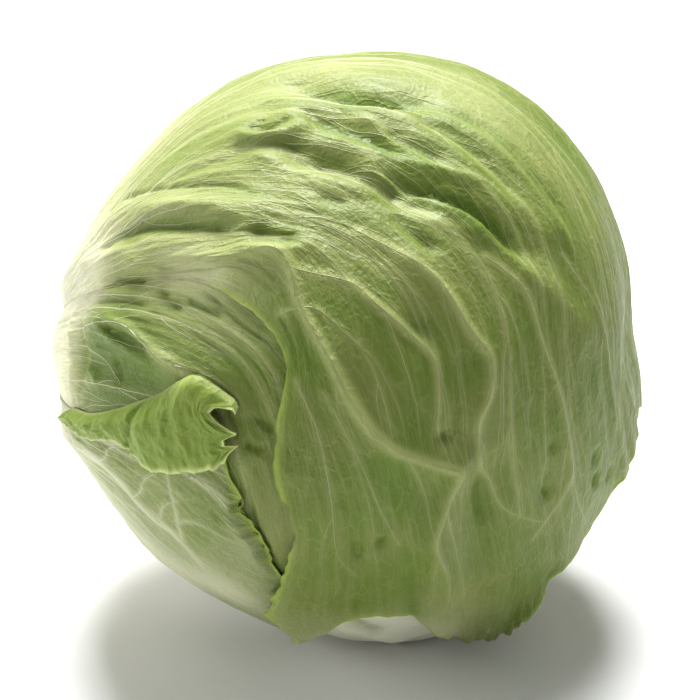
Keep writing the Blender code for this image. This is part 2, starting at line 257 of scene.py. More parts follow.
def bell(values, width):
    """1 at 0, falling off smoothly on both sides."""
    return np.exp(-((values / width) ** 2))


def ring_of(grid):
    """The four sides of a grid in order, each without its last point."""
    return [grid[:-1, 0], grid[-1, :-1], grid[:0:-1, -1], grid[0, :0:-1]]


halfway = spline(np.array([0.0, 1.0, 0.0]), np.array([0.5]))[0]
print("a curve through 0, 1 and 0 is", halfway, "high half a step on")

# %% [markdown]
# ## Leaves as fans of veins
#
# All wrapper leaves start round the cut stem and wrap the heart. A leaf is therefore drawn as a few guide
# veins that leave the stem and spread, and its blade is the smooth surface between them. Veins that show
# in front are drawn through places on the map. Hidden ones fan out evenly by heading and length.

# %% Guide veins
LEAF_START = 9.9
FAN_POINTS = 6
VEIN_POINTS = 160


def leaving(turns, sides):
    """Directions at some degrees from the stem, towards sides that are square to it."""
    turns = np.radians(turns)[:, None]
    return STEM * np.cos(turns) + sides * np.sin(turns)


def drawn(table):
    """Guide veins from the stem through the places in each row of a table."""
    veins = []
    for (points,) in rows_of(table):
        first = unit(points[0] - STEM * (points[0] @ STEM))
        veins.append(np.concatenate([leaving([LEAF_START], first[None]), points]))
    return veins


def fan(headings, lengths, bend):
    """Guide veins between two headings (0 over the top, 90 to the front), their lengths in degrees."""
    veins = []
    for heading, length in zip(np.linspace(headings[0], headings[1], len(lengths)), lengths):
        turns = np.linspace(LEAF_START, length, FAN_POINTS)
        bent = np.radians(heading + bend * (turns - LEAF_START) / 100)
        sides = np.outer(np.cos(bent), STEM_TOP) + np.outer(np.sin(bent), STEM_FRONT)
        veins.append(leaving(turns, sides))
    return veins


def evened(vein, count=VEIN_POINTS):
    """The vein's points at even steps along it."""
    dense = unit(spline(vein, np.linspace(0, len(vein) - 1, count)))
    steps = np.linalg.norm(np.diff(dense, axis=0), axis=1)
    walked = running(steps)
    even = np.linspace(0, walked[-1], count)
    return unit(np.stack([np.interp(even, walked, dense[:, k]) for k in range(3)], axis=1))


def length_of(line):
    """Length in metres of a line of directions."""
    return np.linalg.norm(np.diff(line, axis=0), axis=1).sum() * HEAD_RADIUS


def spaced(points, spacing):
    """Directions along a smooth line through points, at a spacing in metres."""
    if len(points) == 1:
        return points
    return evened(points, max(8, int(length_of(points) / spacing)))


(over_the_top,) = fan((0, 0), (150,), 0)
print("150 degrees over the top are", round(length_of(evened(over_the_top)) / MM), "mm")

# %% [markdown]
# ## One leaf
#
# A leaf knows its veins, how fine its mesh is, how much its margin waves, where it stands off the head,
# and where its margin is notched. It also knows how far any direction is from its own edge, which decides
# how the leaves above it bulge over it, and where its own margin settles down onto the leaf below.

# %% Leaf class
RIB_HEIGHT = 1.8 * MM
RIB_WIDTH = 8 * MM
RIB_SHARE = 0.45
COVER_FALL = 22 * MM
CHART = 91
EDGE_GRID = 30
MIDDLE_GRID = 20


class Leaf:
    """One leaf. A lift is a height and a half-width in mm, and the place that stands off by that much.

    A notch is a depth and a half-width in mm, and the place on the margin that it is cut at.
    """

    def __init__(self, name, veins, mesh, wave, rib_place=2, lifts=(), notches=()):
        self.name = name
        self.veins = [evened(vein) for vein in veins]
        self.rib_vein = self.veins[rib_place]
        self.mesh = mesh
        self.wave = wave * MM
        self.lifts = lifts
        self.notches = notches
        self.draw = np.random.default_rng(sum(map(ord, name)))
        self.chart = self.grid(CHART, CHART)
        self.middle = unit(self.grid(MIDDLE_GRID, MIDDLE_GRID).mean(axis=(0, 1)))
        self.flat_edge = self.flatten(np.concatenate(ring_of(self.grid(EDGE_GRID, EDGE_GRID))))
        steps = np.linalg.norm(np.diff(self.chart, axis=0), axis=-1).sum(axis=0)
        self.length = float(steps.mean()) * HEAD_RADIUS

    def grid(self, rows, columns):
        """Directions of the leaf's points, rows along the veins and columns across them."""
        along = np.linspace(0, VEIN_POINTS - 1, rows)
        guides = np.stack([spline(vein, along) for vein in self.veins])
        across = np.linspace(0, len(self.veins) - 1, columns)
        return unit(spline(guides, across).transpose(1, 0, 2))

    def flatten(self, directions):
        """Distances in metres, right and up from the leaf's middle, laid out flat."""
        across = unit(np.cross(self.middle, STEM))
        other = np.cross(self.middle, across)
        x, y, depth = directions @ across, directions @ other, directions @ self.middle
        reach = np.maximum(np.hypot(x, y), 1e-9)
        turn = np.arctan2(reach, depth) * HEAD_RADIUS
        return np.stack([x / reach * turn, y / reach * turn], axis=-1)

    def rib(self, directions):
        """Height of the thick rib that runs from the stem up the leaf."""
        line = self.rib_vein[: int(len(self.rib_vein) * RIB_SHARE) : 3]
        nearness = np.tensordot(directions, line, axes=(-1, 1))
        distance = HEAD_RADIUS**2 * 2 * (1 - nearness.max(axis=-1))
        fade = 1 - nearness.argmax(axis=-1) / len(line)
        return RIB_HEIGHT * np.exp(-distance / RIB_WIDTH**2) * fade * (2 - fade)

    def lifted(self, directions):
        """Height by which the leaf stands off the head near the places of its lifts."""
        height = np.zeros(directions.shape[:-1])
        for rise, width, place in self.lifts:
            height += rise * MM * closeness(directions, place, width)
        return height

    def from_edge(self, directions):
        """Distance to the leaf's edge, and whether the direction is on the leaf."""
        points = self.flatten(directions.reshape(-1, 3))
        start, end = self.flat_edge, np.roll(self.flat_edge, -1, axis=0)
        run = end - start
        offset = points[:, None] - start
        along = (offset * run).sum(-1) / np.maximum((run * run).sum(-1), 1e-12)
        gap = offset - run * np.clip(along, 0, 1)[..., None]
        distance = np.sqrt((gap * gap).sum(-1)).min(axis=1)
        crossing = (points[:, None, 1] < start[:, 1]) != (points[:, None, 1] < end[:, 1])
        rise = np.where(np.abs(run[:, 1]) < 1e-12, 1e-12, run[:, 1])
        hit = start[:, 0] + (points[:, None, 1] - start[:, 1]) * run[:, 0] / rise
        inside = (crossing & (points[:, None, 0] < hit)).sum(axis=1) % 2 == 1
        shape = directions.shape[:-1]
        return distance.reshape(shape), inside.reshape(shape)

    def cover(self, directions):
        """1 on the leaf, falling smoothly to 0 at a distance outside it."""
        distance, inside = self.from_edge(directions)
        return np.where(inside, 1.0, smooth_step(1 - distance / COVER_FALL))


# %% [markdown]
# ## The seven wrapper leaves
#
# They are listed from the innermost to the outermost. The back leaf, the low leaf and the right leaf close
# the head behind and below. The pale underside leaf carries the head on the floor. The front leaf shows
# its pale ribs on the left, and the side leaf lies over it with a curled tip. The cap leaf is the great
# outer leaf that sweeps over the top and comes down in front with a torn margin. Each row of a table is
# one guide vein: the places that it runs through, right and up by turns.

# %% The leaves in their layers
LEAVES = [
    Leaf(
        "back_leaf",
        fan((-165, -40), (150, 155, 142, 120), 12),
        mesh=(150, 260),
        wave=2.0,
        lifts=[(5.0, 9, (92, -31))],
    ),
    Leaf("low_leaf", fan((-178, -118), (112, 144, 122), -8), mesh=(130, 130), wave=2.0),
    Leaf("right_leaf", fan((-95, -18), (146, 166, 172, 166), 14), mesh=(170, 170), wave=1.5),
    Leaf("underside_leaf", fan((75, 205), (98, 116, 128, 134, 118), 0), mesh=(150, 230), wave=1.0),
    Leaf(
        "front_leaf",
        drawn("""
            -92 -18  -72 -21  -50 -20  -37 -23  -30 -33  -26 -45  -24 -55
            -85 2  -60 4  -38 0  -23 -8  -18 -25  -17 -42  -16 -58
            -80 10  -52 12  -30 8  -14 -3  -8 -22  -6 -42  -5 -61
            -75 18  -45 22  -20 18  0 3  8 -20  10 -42  8 -62
        """),
        mesh=(280, 150),
        wave=0.6,
        rib_place=1,
        notches=[(10, 14, (2, -62))],
    ),
    Leaf(
        "side_leaf",
        drawn("""
            -105 -40  -88 -62  -66 -78  -44 -88  -22 -92
            -96 -27  -78 -37  -60 -49  -42 -60  -27 -67  -14 -73
            -90 -20  -75 -24  -60 -28  -50 -33  -44 -39  -30 -48  -12 -55
            -89 -16  -70 -21  -53 -23  -39 -28  -28 -35  -16 -42
            -88 -14  -70 -18  -52 -18  -39 -19  -30 -22  -21 -28
            -87 -13  -70 -16  -50 -14  -41 -12  -33 -9  -25 -12
        """),
        mesh=(240, 220),
        wave=0.0,
        lifts=[(1.5, 8, (-24, -34))],
    ),
    Leaf(
        "cap_leaf",
        drawn("""
            -64 12  -30 13  -12 0  -13 -18  -11 -36  -14 -49  -17 -60  -15 -72
            -67 14  -31 18  -11 17  0 -6  9 -31  13 -68
            -68 20  -35 35  -4 30  20 9  26 -23  38 -84
            -66 27  -36 56  3 57  38 33  50 -12  62 -70
            -72 50  -40 82  20 95  66 62  82 0  87 -34
            -95 75  -60 120  30 135  108 80  116 14  104 -14
        """),
        mesh=(290, 320),
        wave=1.6,
        rib_place=1,
        lifts=[(2.5, 10, (-12, -28)), (4.5, 13, (46, -78)), (3.0, 12, (72, -58)), (1.0, 12, (-10, -74))],
        notches=[
            (14, 9, (4, -70)),
            (9, 9, (12, -71)),
            (16, 17, (61, -71)),
            (14, 14, (77, -53)),
            (13, 12, (88, -34)),
        ],
    ),
]
FRONT_LAYER, SIDE_LAYER = 4, 5
print("leaves", [(leaf.name, round(leaf.length / MM), "mm long") for leaf in LEAVES])

# %% [markdown]
# ## The body under the leaves
#
# A head isn't a ball. It has broad swells where leaves bunch up, and folds that run through several
# leaves at once, since packed leaves crease together. Both belong to one body radius that all leaves
# share, so that no leaf cuts through the next. A fold is a height and a half-width in mm, then the places
# that it follows. Furrows are below zero, ridges above.

# %% Swells and folds of the body
# Each swell: its place, half-width in degrees and height in mm
BODY_SWELLS = [
    ((50, 75), 36, 3.6),
    ((72, -54), 30, 6.5),
    ((-75, 60), 34, 1.5),
    ((-62, -66), 34, -2.0),
    ((18, -92), 20, 4.0),
    ((-115, 3), 17, -4.5),
    ((84, 8), 15, -3.0),
    ((-58, 56), 14, -1.8),
    ((-84, -10), 9, 1.3),
    ((67, -56), 9, -2.4),
]

FOLDS = """
-2.6 6  -12 65  -4 61  4 57  15 55
-3.2 6  -9 39  -2 37  5 33  13 30
-2.2 7  12 30  19 28  26 25  34 19
1.8 6  5 36  17 30  30 20  41 12  51 4
-1.6 6  -3 49  6 43  12 38
1.5 6  7 49  20 43  30 32  42 25
1.6 6  -23 48  -19 44  -14 45  -12 49
-0.6 4  -58 22  -50 24  -40 24  -24 21
2 5  -53 29  -42 30  -30 28.5  -19 26
1.2 6  -61 19  -40 20  -24 17  -12 17
1.8 6  -12 17  -8 7  -3 -2  1 -10  8 -18  21 -23
1.8 6  21 -23  20 -27  18 -33  17 -38  20 -46  22 -56
-2 6  30 -26  28 -36  29 -46
1.5 6  13 15  18 10  25 1  27 -3  25 -12
2 7  -55 6  -48 6  -38 1  -29 -6
-1.8 7  -60 -3  -50 -4  -40 -7
"""
FOLD_POINTS = 24
print(len(BODY_SWELLS), "swells and", len(rows_of(FOLDS, 2)), "broad folds")


def fold_height(directions):
    """Height of the broad furrows and ridges."""
    height = np.zeros(len(directions))
    for rise, width, points in rows_of(FOLDS, 2):
        line = evened(points, FOLD_POINTS)
        spread = 2 * (1 - directions @ line.T).min(axis=1) * (HEAD_RADIUS / (width * MM)) ** 2
        height += rise * MM * np.exp(-spread)
    return height


# %% [markdown]
# ### Sharp creases, crests and dimples
#
# Finer marks ride on the broad folds. Each is drawn along its own line and fades out at both ends. A
# crest can lean: its left side, seen along the line, is then steeper than its right side, as where a
# fold has flopped over. Small round marks are dimples from the leaves' own growth. The depth of the
# furrows is kept, because the finish paints them a deeper green there, partly the leaf's own and partly
# painted shade. A row of the table holds a mark's height and half-width in mm, its lean, and its places.

# %% Fine folds
FINE_FOLDS = """
# top crescent and the pale ridge under it
-1.5 2.6 1  -12 64  -5 61  4 57  15 54
1 3.5 1  -22 60  -11 55  1 52  12 51  21 49
# crisp ridges across the upper front, with valleys between them
0.9 1.7 1.5  -5 46  0 43  7 40  12 38  22 34
1 1.7 1.5  0 50  5 48  10 42  17 37  23 35  28 34
-1 2.2 1  -12 53  -5 49  3 45  12 39
-0.9 1.8 1  8 46  14 42  20 38
-0.8 2.2 1  14 49  22 45  30 38  36 30
0.8 2.2 1.3  16 53  26 47  36 38  44 28  50 18
-0.7 2.2 1  22 53  33 46  42 36  49 26
# deep furrow under the lip
-2 2.6 1  -9 40  -3 38  3 35  9 32  13 32
1.6 1.5 1.9  3 37  8 34  13 31  17 30  20 28  24 26  30 22
-1.5 2.3 1  13 33  19 30  24 28  30 24  36 18
1.2 3 1  -22 41  -14 38  -9 36  -3 34  4 31  8 30
0.9 2.6 1  10 28  17 25  24 23  31 20  40 11
# ring with its two pits
1.2 1.6 1  -24 47  -22 45  -18 44  -13 45  -9 47
-1.4 1.6 1  -21 48  -16 47
-0.9 1 1  -19 50
-0.9 1.2 1  -15 48  -13 49
-1.3 2 1  -26 42  -19 42  -14 42  -9 42
# hollows in the middle
-1.2 1.9 1  9 26  12 23  15 20  17 18
-0.8 1.8 1  -5 29  -1 28
-1.9 2.4 1  -18 22  -14 21  -10 20
0.8 2 1  -21 19  -13 18  -7 18
-1.2 5 1  14 3
# left bump with the furrow under it
-0.8 1 1  -62 34  -55 36  -48 36  -39 35  -30 34  -24 33  -18 30
1 2.4 1  -47 29  -38 29.5  -29 28  -20 26
-1.2 1.9 1.2  -53 23.5  -47 25  -40 25.5  -31 24  -20 22.5
-0.6 1.4 1  -56 22  -48 22.5  -42 22
# mottled middle left
0.9 1.8 1  -47 19  -45 18  -41 16  -37 15
-1.3 1.8 1  -38 11  -36 9  -33 8
-1 1.6 1  -32 9  -27 7  -24 6
-0.7 1.2 1  -50 15  -42 14
-0.8 1.3 1  -58 10  -48 10  -40 8
0.7 2 1  -56 14  -50 12  -44 12
# ridges of the green panel above the curled tip
1.5 1.7 1.4  -53 8  -49 6  -44 4  -38 0  -30 -4
1 1.7 1.2  -55 7  -50 2  -44 -1  -39 -3
-1.4 1.5 1  -53 5  -48 3  -44 2  -38 -1
1 1.6 1  -60 -5  -57 -7
0.5 2 1  -67 11  -67 -2  -71 -14
-0.6 1.8 1  -62 8  -62 -2  -65 -12
-0.8 1.5 1  -50 -3  -49 -7
# main rib, its fold and the ridge below it
0.9 1.7 1.3  -24 17  -12 17  -8 7  -3 -2  1 -10  8 -18  21 -23
1.3 1.6 2  14 -21  21 -23  20 -27  18 -33  17 -38  20 -46  22 -56
0.7 1.5 1  0 12  5 8  11 3  16 -2  17 -8  17 -15
0.8 1.6 1  14 15  18 11  23 3  27 -2  27 -9  25 -14  26 -22  30 -28
0.6 1.5 1  35 12  39 2  44 -9  48 -21  50 -28  48 -36
0.5 1.5 1  52 16  58 2  63 -12  66 -26
# dimples of the lower front
-1.4 2 1  18 -17
-0.8 1.7 1  -1 -27  -1 -29
-1.2 1.5 1  2 -38  2 -41
-1.1 1.5 1  7 -37  6 -38
-0.6 1.4 1  2 -53  2 -56
-0.8 3.6 1  43 -29  44 -33
-1 1.7 1  44 -32
-0.7 2.1 1  44 -21
-0.8 1.5 1  58 -25  58 -27
-1.1 1.5 1  60 -31  60 -33
-0.9 1.5 1  72 -35
-0.9 1.5 1  66 -31  66 -33
-1 2.2 1  27 -27  28 -33  29 -38
# soft pleats down to the torn margin
0.8 2.5 1  34 -52  37 -64  40 -74
-0.8 2.5 1  12 -44  14 -56  16 -66
0.7 2.5 1  -2 -44  0 -54  2 -62
-0.8 2.2 1  52 -56  54 -66  56 -74
0.7 2.2 1  64 -12  70 -26  74 -42
-0.6 1.6 1  68 -10  74 -24  79 -38
0.6 1.6 1  72 -8  79 -20  85 -32
# crease where the cap leaf's edge dives into the front leaf, and hollows beside it
-0.8 1.1 1  -28 11  -23 7  -18 3  -13 0
-0.9 1.5 1  -17 -13  -14 -15
-0.9 1.4 1  -19 -18  -16 -19
0.9 2.2 1  -21 -10  -18 -16  -17 -22
0.9 1.6 1.3  -23 -26  -21 -35  -17 -46
-0.9 1.5 1  -20 -29  -18 -38  -15 -47
# pale bump under the torn margin
1.2 4 1  -3 -74  6 -75  14 -84
-1 2.5 1  2 -70  8 -74
"""
print(len(rows_of(FINE_FOLDS, 3)), "fine marks")

# %% [markdown]
# ### The body's radius
#
# The marks could be painted as a displacement map, but a formula stays sharp at any mesh size. Each point
# of the head asks every mark nearby how far off it is, and takes its share of the mark's height. The
# radius of the body is then the ball, its swells, its folds and its marks together.

# %% Height of the marks and radius of the body
FOLD_STRENGTH = 1.2
FOLD_REACH = 2.6
FOLD_SPACING = 0.35
DARKEST_FURROW_DEPTH = 1.3


def fine_fold_height(directions):
    """Height of the fine marks, and how deep each point lies in a furrow, from 0 to 1."""
    height = np.zeros(len(directions))
    depth = np.zeros(len(directions))
    for rise, width, lean, points in rows_of(FINE_FOLDS, 3):
        line = spaced(points, FOLD_SPACING * width * MM)
        nearness = directions @ line.T
        reach = FOLD_REACH * width * lean * MM / HEAD_RADIUS
        near = np.flatnonzero(nearness.max(axis=1) > 1 - 0.5 * reach**2)
        nearness = nearness[near]
        half = np.full((len(near), 1), width * MM)
        fade = np.ones(len(line))
        if len(line) > 1:
            nearest = nearness.argmax(axis=1)
            run = np.gradient(line, axis=0)[nearest]
            left = (np.cross(directions[near], run) * (directions[near] - line[nearest])).sum(axis=1) > 0
            half = half * np.where(left, 1 / lean, lean)[:, None]
            fade = np.clip(2 * np.sin(np.pi * (np.arange(len(line)) + 0.5) / len(line)), 0, 1)
        spread = (2 - 2 * nearness) * (HEAD_RADIUS / half) ** 2
        mark = (fade * np.exp(-spread)).max(axis=1)
        height[near] += FOLD_STRENGTH * rise * MM * mark
        # How deep the point lies in a furrow, which the finish paints darker: partly deeper green, partly
        # painted shade
        depth[near] = np.maximum(depth[near], mark * np.clip(-rise / DARKEST_FURROW_DEPTH, 0, 1))
    return height, depth


def body_radius(directions):
    """Radius of the head below its outer leaves, and how deep each point lies in a furrow."""
    flat = directions.reshape(-1, 3)
    fine, depth = fine_fold_height(flat)
    radius = HEAD_RADIUS + fold_height(flat) + fine
    for place, width, height in BODY_SWELLS:
        radius = radius + height * MM * bell(degrees_from(flat, spot(place)), width)
    shape = directions.shape[:-1]
    return radius.reshape(shape), depth.reshape(shape)


# %% [markdown]
# ## Layers
#
# Leaves lie on each other a fixed pitch apart, so a leaf's outer face is the body plus all leaves below
# it. The sum over leaves is slow and smooth, so it is worked out on a coarse grid and read from there.
# Nothing may reach below the floor, and a leaf with others under it stays higher by their thickness.

# %% Layer heights
LEAF_PITCH = 2.0 * MM
LAYER_GRID = 61
BOX_ROOM = 0.3 * MM
EXPOSED_FALL = 5 * MM


def layer_grids(layer):
    """Stack below, its share from the front leaf up, leaves over it, bareness and distance to the edge."""
    leaf = LEAVES[layer]
    directions = leaf.grid(LAYER_GRID, LAYER_GRID)
    stack = leaf.rib(directions)
    above = stack.copy()
    over = np.zeros(directions.shape[:-1])
    bare = np.ones(directions.shape[:-1])
    for index, other in enumerate(LEAVES):
        if index < layer:
            part = (LEAF_PITCH + other.rib(directions)) * other.cover(directions)
            stack += part
            above += part * (index >= FRONT_LAYER)
        if index > layer:
            distance, inside = other.from_edge(directions)
            over += LEAF_PITCH * np.where(inside, 1.0, smooth_step(1 - distance / COVER_FALL))
            bare *= np.where(inside, 0.0, smooth_step(distance / EXPOSED_FALL))
    edge, _ = leaf.from_edge(directions)
    return np.stack([stack, above, over, bare, edge], axis=-1)


def floored(directions, radius, clearance):
    """Radius cut back where it would reach below the surface that the head lies on."""
    down = np.maximum(-directions[..., 2], 1e-3)
    return np.minimum(radius, (HEAD_MIDDLE[2] - clearance) / down)


def boxed(directions, radius):
    """Radius cut back where it would reach out of the frame's own box."""
    for sign, corner in ((-1, cad_box[0]), (1, cad_box[1])):
        room = sign * (corner - HEAD_MIDDLE) - BOX_ROOM
        toward = np.maximum(sign * directions, 1e-3)
        radius = np.minimum(radius, (room / toward).min(axis=-1))
    return radius


def stand(directions, radius):
    """Points at a radius from the head's middle, which stands above the floor."""
    return directions * radius[..., None] + HEAD_MIDDLE


print("a plain ball would end", round((HEAD_MIDDLE[2] - HEAD_RADIUS) / MM, 1), "mm above the floor")

# %% [markdown]
# ## Where the mesh needs its points
#
# A mesh with even steps would waste most of its triangles behind the head. The rows and columns are
# closer together where the leaf faces the front and where it is wide. The margin is then cut by pulling
# the last stretch of every column back: wide lobes first, then small teeth between them.

# %% Spacing and torn margins
FRONT_EXTRA = 1.2
TEAR_REACH = 14 * MM
TEAR_MIDDLE = 2.9 * MM
# Lobes and teeth: spacing and size in mm
LOBES = [(19, 3.2), (8, 1.8)]
TEETH = [(5.2, 2.4), (2.6, 1.2)]
SIDE_TEAR_START = 0.35
SIDE_TEAR_FULL = 0.65


def crowded(leaf, axis):
    """Places from 0 to 1 along (axis 0) or across (axis 1) a leaf, closer where they show."""
    step = np.linalg.norm(np.diff(leaf.chart, axis=axis), axis=-1)
    facing = np.clip(leaf.chart @ FRONT, 0, 1)
    facing = facing[1:] if axis == 0 else facing[:, 1:]
    weight = (step * (1 + FRONT_EXTRA * facing)).mean(axis=1 - axis)
    walked = running(weight)
    return np.interp(np.linspace(0, walked[-1], leaf.mesh[axis]), walked, np.linspace(0, 1, len(walked)))


def torn_edge(leaf, length, places):
    """Depth in metres that a margin of some length is torn back by, at places from 0 to 1 along it."""
    depth = np.full(len(places), -TEAR_MIDDLE)
    for spacing, size in LOBES:
        knots = leaf.draw.random(max(4, int(length / (spacing * MM))))
        depth += size * MM * spline(knots, places * (len(knots) - 1))
    for spacing, size in TEETH:
        count = max(4, int(length / (spacing * MM)))
        depth += size * MM * zigzag(leaf.draw.random(count) * (np.arange(count) % 2), places)
    return depth


def torn_places(leaf, along, across, side_torn):
    """The mesh's places on the leaf, with its far margin and, if asked, its first side torn."""
    down, over = np.meshgrid(along, across, indexing="ij")
    pull = torn_edge(leaf, length_of(leaf.chart[-1]), across)
    rim = sampled(leaf.chart, np.ones(len(across)), across)
    for depth, half, place in leaf.notches:
        pull += depth * MM * closeness(rim, place, half)
    reach = np.maximum(TEAR_REACH, 2 * np.abs(pull))
    down = down - smooth_step(1 - (1 - down) * leaf.length / reach) * pull / leaf.length
    if side_torn:
        widths = np.linalg.norm(np.diff(leaf.chart, axis=1), axis=-1).sum(axis=1) * HEAD_RADIUS
        width = zigzag(widths, along)
        share = smooth_step((along - SIDE_TEAR_START) / (SIDE_TEAR_FULL - SIDE_TEAR_START))
        pull = torn_edge(leaf, leaf.length, along) * share
        near = smooth_step(1 - over * width[:, None] / TEAR_REACH)
        over = over + near * (pull / width)[:, None]
    return down, over


rows = np.diff(crowded(LEAVES[-1], 0)) * LEAVES[-1].length / MM
print("rows of the cap leaf are", rows.min().round(2), "to", rows.max().round(2), "mm apart")

# %% [markdown]
# ## Veins
#
# A leaf's veins are grown, as they grow in nature. Trunk veins leave the stem and follow the blade.
# Branches leave them at a slant, bend back towards the flow of the blade, and stop where they meet
# another vein, which closes the network into long cells. A few veins that show in front are drawn
# first: each row holds a radius in mm and the places that the vein runs through.

# %% Drawn veins
DRAWN_VEINS = {
    "cap_leaf": """
1.1  -62 14  -45 17  -24 17  -12 17  -8 7  -3 -2  1 -10  8 -18  21 -23
0.75  -10 14  0 12  5 8  11 3  16 -2  17 -8  17 -15  19 -22
0.75  2 22  14 15  18 11  23 3  27 -2  27 -9  25 -14  26 -22  30 -28
0.55  21 -23  20 -27  18 -33  17 -38  20 -46  22 -56
0.55  27 18  35 12  39 2  44 -9  48 -21  50 -28  48 -35  42 -44
0.35  50 -28  54 -36  60 -44
0.45  -12 6  -6 7  -1 3  3 -1  6 -8  8 -16
0.4  30 -28  33 -34  40 -38  46 -40
0.4  46 20  56 6  62 -8  66 -20
0.35  -9 -6  -5 -16  -3 -28  -2 -40  2 -46
0.35  -4 -8  2 -20  6 -30  10 -38
""",
    "front_leaf": """
0.55  -27 15  -20 8  -15 4  -13 1
0.7  -70 3  -58 5  -46 5  -38 0  -30 -5  -24 -12  -20 -24  -19 -40
0.4  -60 0  -54 -3  -49 -8
""",
    "side_leaf": """
1.1  -77 -21  -71 -25  -59 -27  -53 -31  -49 -36  -43 -40  -38 -43  -33 -50
0.34  -59 -27  -55 -25  -52 -22  -47 -21
0.32  -50 -35  -46 -32  -43 -28  -38 -25
0.45  -37 -45  -36 -36  -36 -30  -36 -25
0.3  -43 -40  -41 -36  -38 -33  -34 -31
""",
}
print("drawn veins", {name: len(rows_of(table, 1)) for name, table in DRAWN_VEINS.items()})

# %% [markdown]
# ### Growing the rest
#
# Each vein is a walk of short steps. At every step it bends a little towards the flow of the blade and
# wanders a little at random. It ends at its full length, at the leaf's edge, or where another vein is
# near. A search tree finds the nearest point of the leaf quickly, and so the flow of the blade there.

# %% Growing the veins
VEIN_STEP = 0.9 * MM
MEETING = 0.75 * MM
WANDER = 0.05
DRAWN_TAPER = 0.5
GROWN_TAPER = 0.45
TRUNK_RADII = (0.45, 0.85)
TRUNK_START = 0.03
TRUNK_REACH = 0.95
TRUNK_PULL = 0.6
BRANCH_THINNER = 0.8
# For each level: radius at its start in mm, spacing along its parent in mm, slant, pull of the flow, reach
BRANCH_LEVELS = [(0.34, (9, 17), (20, 34), 0.12, 60), (0.17, (6, 11), (28, 48), 0.10, 13)]


def tree_of(points):
    """A search tree that finds the nearest of some points."""
    tree = KDTree(len(points))
    for index, point in enumerate(points):
        tree.insert(point, index)
    tree.balance()
    return tree


class Veins:
    """The veins of a leaf: chains of directions with their radii."""

    def __init__(self, leaf):
        self.leaf = leaf
        self.chains = []
        self.tree = tree_of(leaf.chart.reshape(-1, 3))
        self.flow = unit(np.gradient(leaf.chart, axis=0)).reshape(-1, 3)

    def look_up(self, directions):
        """Flow of the blade at directions, and whether each is well inside the leaf."""
        found = [self.tree.find(direction)[1] for direction in directions]
        row, column = np.divmod(np.array(found), CHART)
        inside = (row > 0) & (row < CHART - 1) & (column > 0) & (column < CHART - 1)
        return self.flow[found], inside

    def add(self, points, start, end):
        """One vein whose radius in mm goes from start to end."""
        self.chains.append((points, np.linspace(start, end, len(points)) * MM))

    def all_points(self):
        return np.concatenate([points for points, _ in self.chains]).astype(np.float32)

    def grow(self, starts, headings, radii, pull, reach):
        """Grows veins until they meet another vein, leave the leaf or reach their length."""
        tips = starts.copy()
        headings = headings.copy()
        paths = [[tip] for tip in starts]
        live = np.arange(len(starts))
        known = self.all_points() if self.chains else np.zeros((0, 3), np.float32)
        for step in range(int(reach * MM / VEIN_STEP)):
            flow, inside = self.look_up(tips[live])
            live, flow = live[inside], flow[inside]
            if not len(live):
                break
            wander = self.leaf.draw.normal(0, WANDER, (len(live), 3))
            headings[live] = unit(headings[live] * (1 - pull) + flow * pull + wander)
            tips[live] = unit(tips[live] + headings[live] * VEIN_STEP / HEAD_RADIUS)
            for index in live:
                paths[index].append(tips[index].copy())
            if step > 3 and len(known):
                parts = np.array_split(tips[live].astype(np.float32), 6)
                nearness = np.concatenate([(part @ known.T).max(axis=1) for part in parts])
                live = live[nearness < 1 - 0.5 * (MEETING / HEAD_RADIUS) ** 2]
            if step % 4 == 3 and self.chains:
                older = [np.array(path[:-3]) for path in paths if len(path) > 4]
                known = np.concatenate([self.all_points()] + older).astype(np.float32)
        for path, radius in zip(paths, radii):
            if len(path) > 3:
                self.add(np.array(path), radius, radius * GROWN_TAPER)

    def branch(self, level):
        """Starts branches at a slant, by turns left and right, along every vein."""
        radius, spacing, slant, pull, reach = level
        draw = self.leaf.draw
        starts, headings, radii = [], [], []
        for points, parent in self.chains:
            place = draw.uniform(*spacing) * MM
            side = 1 if draw.random() < 0.5 else -1
            while place < (len(points) - 2) * VEIN_STEP:
                index = int(place / VEIN_STEP)
                run = unit(points[index + 1] - points[index])
                turn = math.radians(draw.uniform(*slant)) * side
                out = np.cross(points[index], run)
                starts.append(points[index])
                headings.append(run * math.cos(turn) + out * math.sin(turn))
                radii.append(min(radius, parent[index] / MM * BRANCH_THINNER) * draw.uniform(0.8, 1.1))
                place += draw.uniform(*spacing) * MM
                side = -side
        self.grow(np.array(starts), np.array(headings), radii, pull, reach)


def grown_veins(leaf, trunks):
    """The veins of one leaf: the drawn ones, then trunks from the stem, then two levels of branches."""
    veins = Veins(leaf)
    for radius, points in rows_of(DRAWN_VEINS.get(leaf.name, ""), 1):
        veins.add(spaced(points, VEIN_STEP), radius, radius * DRAWN_TAPER)
    across = (np.arange(trunks) + 0.5 + leaf.draw.uniform(-0.25, 0.25, trunks)) / trunks
    starts = unit(sampled(leaf.chart, np.full(trunks, TRUNK_START), across))
    headings, _ = veins.look_up(starts)
    radii = leaf.draw.uniform(*TRUNK_RADII, trunks)
    veins.grow(starts, headings, radii, TRUNK_PULL, leaf.length / MM * TRUNK_REACH)
    for level in BRANCH_LEVELS:
        veins.branch(level)
    return veins


# %% [markdown]
# ## From veins to relief
#
# The leaf's outer face is the underside of the blade, where the veins stand proud. Each point of the mesh
# asks for the nearest vein: thick veins raise a ridge and carry a pale band along them, and thin ones are
# only a little lighter. Between the veins the blade blisters, most in the sunlit top of the head.

# %% Relief of one leaf
VEIN_CLASSES = (0, 0.22 * MM, 0.45 * MM, 1)
PALE_RADIUS = 0.55 * MM
